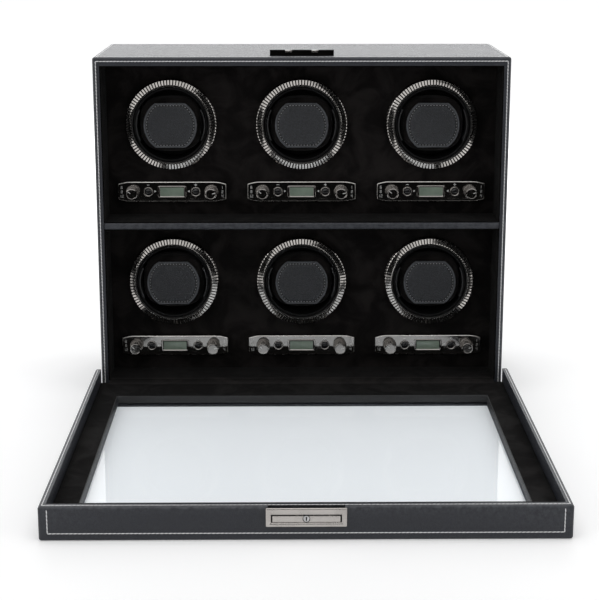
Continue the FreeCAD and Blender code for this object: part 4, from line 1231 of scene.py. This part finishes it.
# Hinge and its cover strip
# A long steel hinge, lacquered black, joins the door's foot to the case's floor. A strip of the lining's
# suede is glued down on both sides of it, so that only a soft fold shows between the bay and the door.
HINGE_BLACK = (0.0150, 0.0150, 0.0155, 1)
HINGE_WORN = (0.0300, 0.0300, 0.0310, 1)
LINING_THICK = 1.2 * MM
STRIP_LIFT = 0.35 * MM
STRIP_ON_CASE = 5.0 * MM
STRIP_ON_DOOR = 6.0 * MM
STRIP_MARGIN = 1.6 * MM
STRIP_SAG = 0.5 * MM
hinge_lacquer = plated("black hinge lacquer", HINGE_BLACK, HINGE_WORN, 0.38, 0.5)
for node in ("case_hinge_leaf", "door_hinge_leaf", "hinge_pin"):
    dress(node, hinge_lacquer)
linings_low, linings_high = (Vector(corner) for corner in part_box("suede_linings"))
strip_half = linings_high.x - STRIP_MARGIN
strip_from = Vector((0, case_low.y + STRIP_ON_CASE, linings_low.z + LINING_THICK + STRIP_LIFT))
strip_to = Vector((0, border_high.y - STRIP_ON_DOOR, border_high.z + STRIP_LIFT))
strip_rows = []
for share in np.linspace(0, 1, 15):
    eased = share * share * (3 - 2 * share)
    y = strip_from.y + (strip_to.y - strip_from.y) * share
    z = strip_from.z + (strip_to.z - strip_from.z) * eased - STRIP_SAG * math.sin(math.pi * share) ** 2
    strip_rows.append([(x, y, z) for x in np.linspace(-strip_half, strip_half, 41)])
strip_mesh = skin("hinge_strip", strip_rows, closed=False, sharp=80)
strip = stand("hinge_strip", strip_mesh)
strip_mesh.materials.append(suede)
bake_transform(strip)

# Lock on the door's edge
# A plated face plate let into the front rim, with a long bar to push and a key plug in its middle.
# Behind it two steel claws slide sideways in a pocket that opens in the rim's top.
PLATE_CORNER = 0.8 * MM
PLATE_EDGE = 0.45 * MM
BAR_HOLE_WIDTH = 55.6 * MM
BAR_HOLE_HEIGHT = 6.6 * MM
PUSH_RECESS = 0.2 * MM
PUSH_END_GAP = 0.9 * MM
PUSH_LOW_GAP = 0.3 * MM
PUSH_HIGH_GAP = 0.95 * MM
PUSH_EDGE = 0.5 * MM
PLUG_RADIUS = 2.5 * MM
PLUG_SIDES = 36
PLUG_GAP = 0.05 * MM
PLUG_SHADE_RING_WIDTH = 0.5 * MM
KEYWAY_WIDTH = 1.1 * MM
KEYWAY_HEIGHT = 3.4 * MM
PAINTED_SHADE_LIFT = 0.04 * MM
LOCK_BRIGHT = (0.47, 0.445, 0.425, 1)
LOCK_DULL = (0.36, 0.34, 0.325, 1)
lock_plating = plated("lock plating", LOCK_BRIGHT, LOCK_DULL, 0.2, 0.3)
lock_low, lock_high = (Vector(corner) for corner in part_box("lock_plate"))
plug_low, plug_high = (Vector(corner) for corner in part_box("lock_cylinder"))
lock_width, lock_height = lock_high.x - lock_low.x, lock_high.z - lock_low.z
lock_level = (lock_low.z + lock_high.z) / 2
plug_level = (plug_low.z + plug_high.z) / 2
hole_rise = np.array([0, plug_level - lock_level])
plate_outline = round_oblong(lock_width, lock_height, PLATE_CORNER)
plate_shoulder = round_oblong(lock_width - 0.5 * PLATE_EDGE, lock_height - 0.5 * PLATE_EDGE, PLATE_CORNER)
plate_face = round_oblong(lock_width - 2 * PLATE_EDGE, lock_height - 2 * PLATE_EDGE, PLATE_CORNER)
hole_rim = round_oblong(BAR_HOLE_WIDTH + 2 * PLATE_EDGE, BAR_HOLE_HEIGHT + 2 * PLATE_EDGE, PLATE_CORNER)
hole_outline = round_oblong(BAR_HOLE_WIDTH, BAR_HOLE_HEIGHT, 0.5 * PLATE_CORNER)
lock_rows = upright_rows([
    (plate_outline, lock_high.y),
    (plate_outline, lock_low.y + PLATE_EDGE),
    (plate_shoulder, lock_low.y + 0.3 * PLATE_EDGE),
    (plate_face, lock_low.y),
    (hole_rim + hole_rise, lock_low.y),
    (hole_outline + hole_rise, lock_low.y + PLATE_EDGE),
    (hole_outline + hole_rise, lock_high.y)])
plate_mesh = skin("lock_face_plate", lock_rows, sharp=50)
face_plate = join_piece("lock_face_plate", plate_mesh, lock_plating, "door", (0, 0, lock_level))
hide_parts("lock_plate")
push_face = lock_low.y + PUSH_RECESS
push_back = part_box("lock_push_bar")[1][Y]
push_half = BAR_HOLE_WIDTH / 2 - PUSH_END_GAP
push_mesh = soft_block("lock_bar", (-push_half, push_face, plug_level - BAR_HOLE_HEIGHT / 2 + PUSH_LOW_GAP),
                       (push_half, push_back, plug_level + BAR_HOLE_HEIGHT / 2 - PUSH_HIGH_GAP), PUSH_EDGE, 4)
push_bar = join_piece("lock_bar", push_mesh, lock_plating, "push_bar")
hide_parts("lock_push_bar")
plug_seat = (0, 0, plug_level)
plug_profile = [
    (PLUG_RADIUS, plug_high.y),
    (PLUG_RADIUS, plug_low.y + 0.25 * MM),
    (PLUG_RADIUS - 0.25 * MM, plug_low.y),
    (PLUG_RADIUS - 0.7 * MM, plug_low.y),
    (PLUG_RADIUS - 0.8 * MM, plug_low.y + 0.1 * MM),
    (0.3 * MM, plug_low.y + 0.1 * MM)]
plug_mesh = lathed("key_plug", plug_profile, PLUG_SIDES, (True, True), sharp=40)
plug = join_piece("key_plug_face", plug_mesh, satin_steel, "key_plug", plug_seat)
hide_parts("lock_cylinder")
# The keyway is not cut: a thin black inlay on the plug's face stands for it, painted shade.
keyway_mesh = soft_block("keyway", (-KEYWAY_WIDTH / 2, plug_low.y + PAINTED_SHADE_LIFT, -KEYWAY_HEIGHT / 2),
                         (KEYWAY_WIDTH / 2, plug_low.y + 0.5 * MM, KEYWAY_HEIGHT / 2), 0.12 * MM, 2)
join_piece("keyway", keyway_mesh, drum_black, "key_plug", plug_seat)
# A thin black ring on the bar round the plug stands for the shade in the gap: painted shade.
shade_ring_profile = [
    (PLUG_RADIUS + PLUG_SHADE_RING_WIDTH, push_face + 0.4 * MM),
    (PLUG_RADIUS + PLUG_SHADE_RING_WIDTH, push_face - PAINTED_SHADE_LIFT),
    (PLUG_RADIUS + PLUG_GAP, push_face - PAINTED_SHADE_LIFT),
    (PLUG_RADIUS + PLUG_GAP, push_face + 0.4 * MM)]
shade_ring_mesh = lathed("plug_gap", shade_ring_profile, PLUG_SIDES)
join_piece("plug_gap", shade_ring_mesh, drum_black, "push_bar", plug_seat)
dress("lock_claws", satin_steel)

# Keeper on the case's top
# A blackened angle screwed to the top near its front edge. Its wall closes the lock's pocket when the
# door is shut, and its two tongues, rubbed bright at their tips, are what the claws catch.
KEEPER_BLACK = (0.0085, 0.0080, 0.0078, 1)
KEEPER_RUBBED = (0.0180, 0.0172, 0.0168, 1)
TONGUE_OFFSET = 13.0 * MM
TONGUE_HALF = 3.4 * MM
TONGUE_THICK = 1.8 * MM
TIP_PROUD = 0.12 * MM
TIP_REACH = 0.3 * MM
TIP_EDGE = 0.11 * MM
dress("lock_keeper", plated("blackened keeper", KEEPER_BLACK, KEEPER_RUBBED, 0.3, 0.45))
keeper_low, keeper_high = (Vector(corner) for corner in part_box("lock_keeper"))
for side, middle in (("left", -TONGUE_OFFSET), ("right", TONGUE_OFFSET)):
    tip_low = (middle - TONGUE_HALF, keeper_low.y - TIP_PROUD, keeper_high.z - TONGUE_THICK)
    tip_high = (middle + TONGUE_HALF, keeper_low.y + TIP_REACH, keeper_high.z - 0.05 * MM)
    tip_mesh = soft_block(f"keeper_{side}_tip", tip_low, tip_high, TIP_EDGE, 2)
    join_piece(f"keeper_{side}_tip", tip_mesh, lock_plating, "case")

# White floor
# A sweep of white card that the box stands on. It glows a little where it is looked at, more so far away,
# so that it runs into the white behind it with no line.
FLOOR_WHITE = (0.90, 0.90, 0.905, 1)
FLOOR_BRIGHT = (0.915, 0.915, 0.918, 1)
FLOOR_SIZE = 40.0
FLOOR_LIFT_NEAR = 0.17
FLOOR_LIFT_FAR = 0.52
WHITE = (1, 1, 1, 1)


def flat_sheet(name, rows, material):
    """A flat sheet between two rows of two points."""
    mesh = skin(name, rows, closed=False)
    mesh.materials.append(material)
    return stand(name, mesh)


sweep, tree, shader = finish_of("white sweep", Specular_IOR_Level=0.0, Roughness=1.0, Emission_Color=WHITE)
spot = put(tree, "TexCoord").outputs["Object"]
away = put(tree, "VectorMath", {0: spot}, operation="LENGTH").outputs["Value"]
lift = between(tree, away, 0.5, 1.4, FLOOR_LIFT_NEAR, FLOOR_LIFT_FAR)
seen = any_ray(tree, "Camera", "Glossy", "Transmission")
faint = between(tree, noise(tree, 6.0, 3.0), 0.3, 0.7)
feed(tree, shader, Base_Color=tint(tree, faint, FLOOR_WHITE, FLOOR_BRIGHT),
     Emission_Strength=math_of(tree, "MULTIPLY", seen, lift))
floor_ends = (-FLOOR_SIZE, FLOOR_SIZE)
floor = flat_sheet("floor", [[(x, y, 0) for x in floor_ends] for y in floor_ends], sweep)

# Dark cards
# Black cards that stand and lie in front of the box, out of the picture. Only polished surfaces mirror
# them, which gives the plating its dark sectors.
CARD_BLACK = (0.012, 0.012, 0.012, 1)
# Each card: its corners, as the spans along X, Y and Z
CARDS = {"floor_card": ((-2.5, 2.8), (-3.0, -0.6), (0.004, 0.004)),
         "low_card": ((-2.5, 0.6), (-3.0, -3.0), (0.0, 0.5)),
         "right_card": ((0.6, 2.8), (-3.0, -3.0), (0.0, 1.5))}
dark_card = finish_of("dark card", Base_Color=CARD_BLACK, Roughness=1.0, Specular_IOR_Level=0.0)[0]
for name, (wide, deep, tall) in CARDS.items():
    card = flat_sheet(name, [[(x, y, z) for x in wide] for y, z in zip(deep, tall)], dark_card)
    card.visible_camera = False
    card.visible_diffuse = False
    card.visible_shadow = False
    card.visible_transmission = False

# Studio light
# A large soft light from above, weaker light from both sides and a glow from behind, in a white room
# that is dimmer as a light than it looks.
AMBIENT = 0.54
MIDDLE = (0, -0.15, 0.15)
CASE_TOP = (0, 0, 0.34)
world = bpy.data.worlds.new("studio")
bpy.context.scene.world = world
world.use_nodes = True
tree = world.node_tree
room = tree.nodes["Background"]
room.inputs["Color"].default_value = WHITE
seen = any_ray(tree, "Camera", "Glossy", "Transmission")
feed(tree, room, Strength=between(tree, seen, 0, 1, AMBIENT, 1.0))


def soft_light(name, at, aim, size, watts):
    """An oblong lamp at a place, turned to what it lights."""
    lamp = bpy.data.lights.new(name, "AREA")
    lamp.shape = "RECTANGLE"
    lamp.size, lamp.size_y = size
    lamp.energy = watts
    item = stand(name, lamp)
    item.location = at
    item.rotation_euler = (Vector(aim) - Vector(at)).to_track_quat("-Z", "Y").to_euler()
    item.visible_camera = False
    return item


soft_light("overhead", at=(0.0, -0.35, 2.3), aim=MIDDLE, size=(2.4, 1.8), watts=20)
soft_light("left_fill", at=(-1.9, -1.5, 1.2), aim=MIDDLE, size=(1.0, 1.4), watts=4)
right_fill = soft_light("right_fill", at=(1.9, -1.3, 1.1), aim=MIDDLE, size=(1.0, 1.4), watts=4)
right_fill.visible_glossy = False
soft_light("back_glow", at=(0.0, 1.7, 1.15), aim=CASE_TOP, size=(2.4, 0.9), watts=19)

# Camera
# A portrait lens, at the eye level of a person who sits at the table, tilted down to the box. Its place
# was solved from the edges of the case and the door.
IMAGE_SIZE = 600
FOCAL_PIXELS = 1395.215
CAMERA_PLACE = (-0.01427, -1.43822, 0.48033)
CAMERA_PITCH = 0.21713
CAMERA_YAW = 0.00866
SENSOR_WIDTH = 36.0
LENS_SHIFT = -0.125
lens = bpy.data.cameras.new("camera")
lens.sensor_width = SENSOR_WIDTH
lens.lens = FOCAL_PIXELS * SENSOR_WIDTH / IMAGE_SIZE
lens.shift_y = LENS_SHIFT
lens.clip_start = 0.01
lens.clip_end = 100
camera = stand("camera", lens)
ahead = math.cos(CAMERA_PITCH)
forward = Vector((math.sin(CAMERA_YAW) * ahead, math.cos(CAMERA_YAW) * ahead, -math.sin(CAMERA_PITCH)))
camera.location = CAMERA_PLACE
camera.rotation_euler = forward.to_track_quat("-Z", "Y").to_euler()
bpy.context.scene.camera = camera
bpy.context.scene.view_settings.view_transform = "Standard"
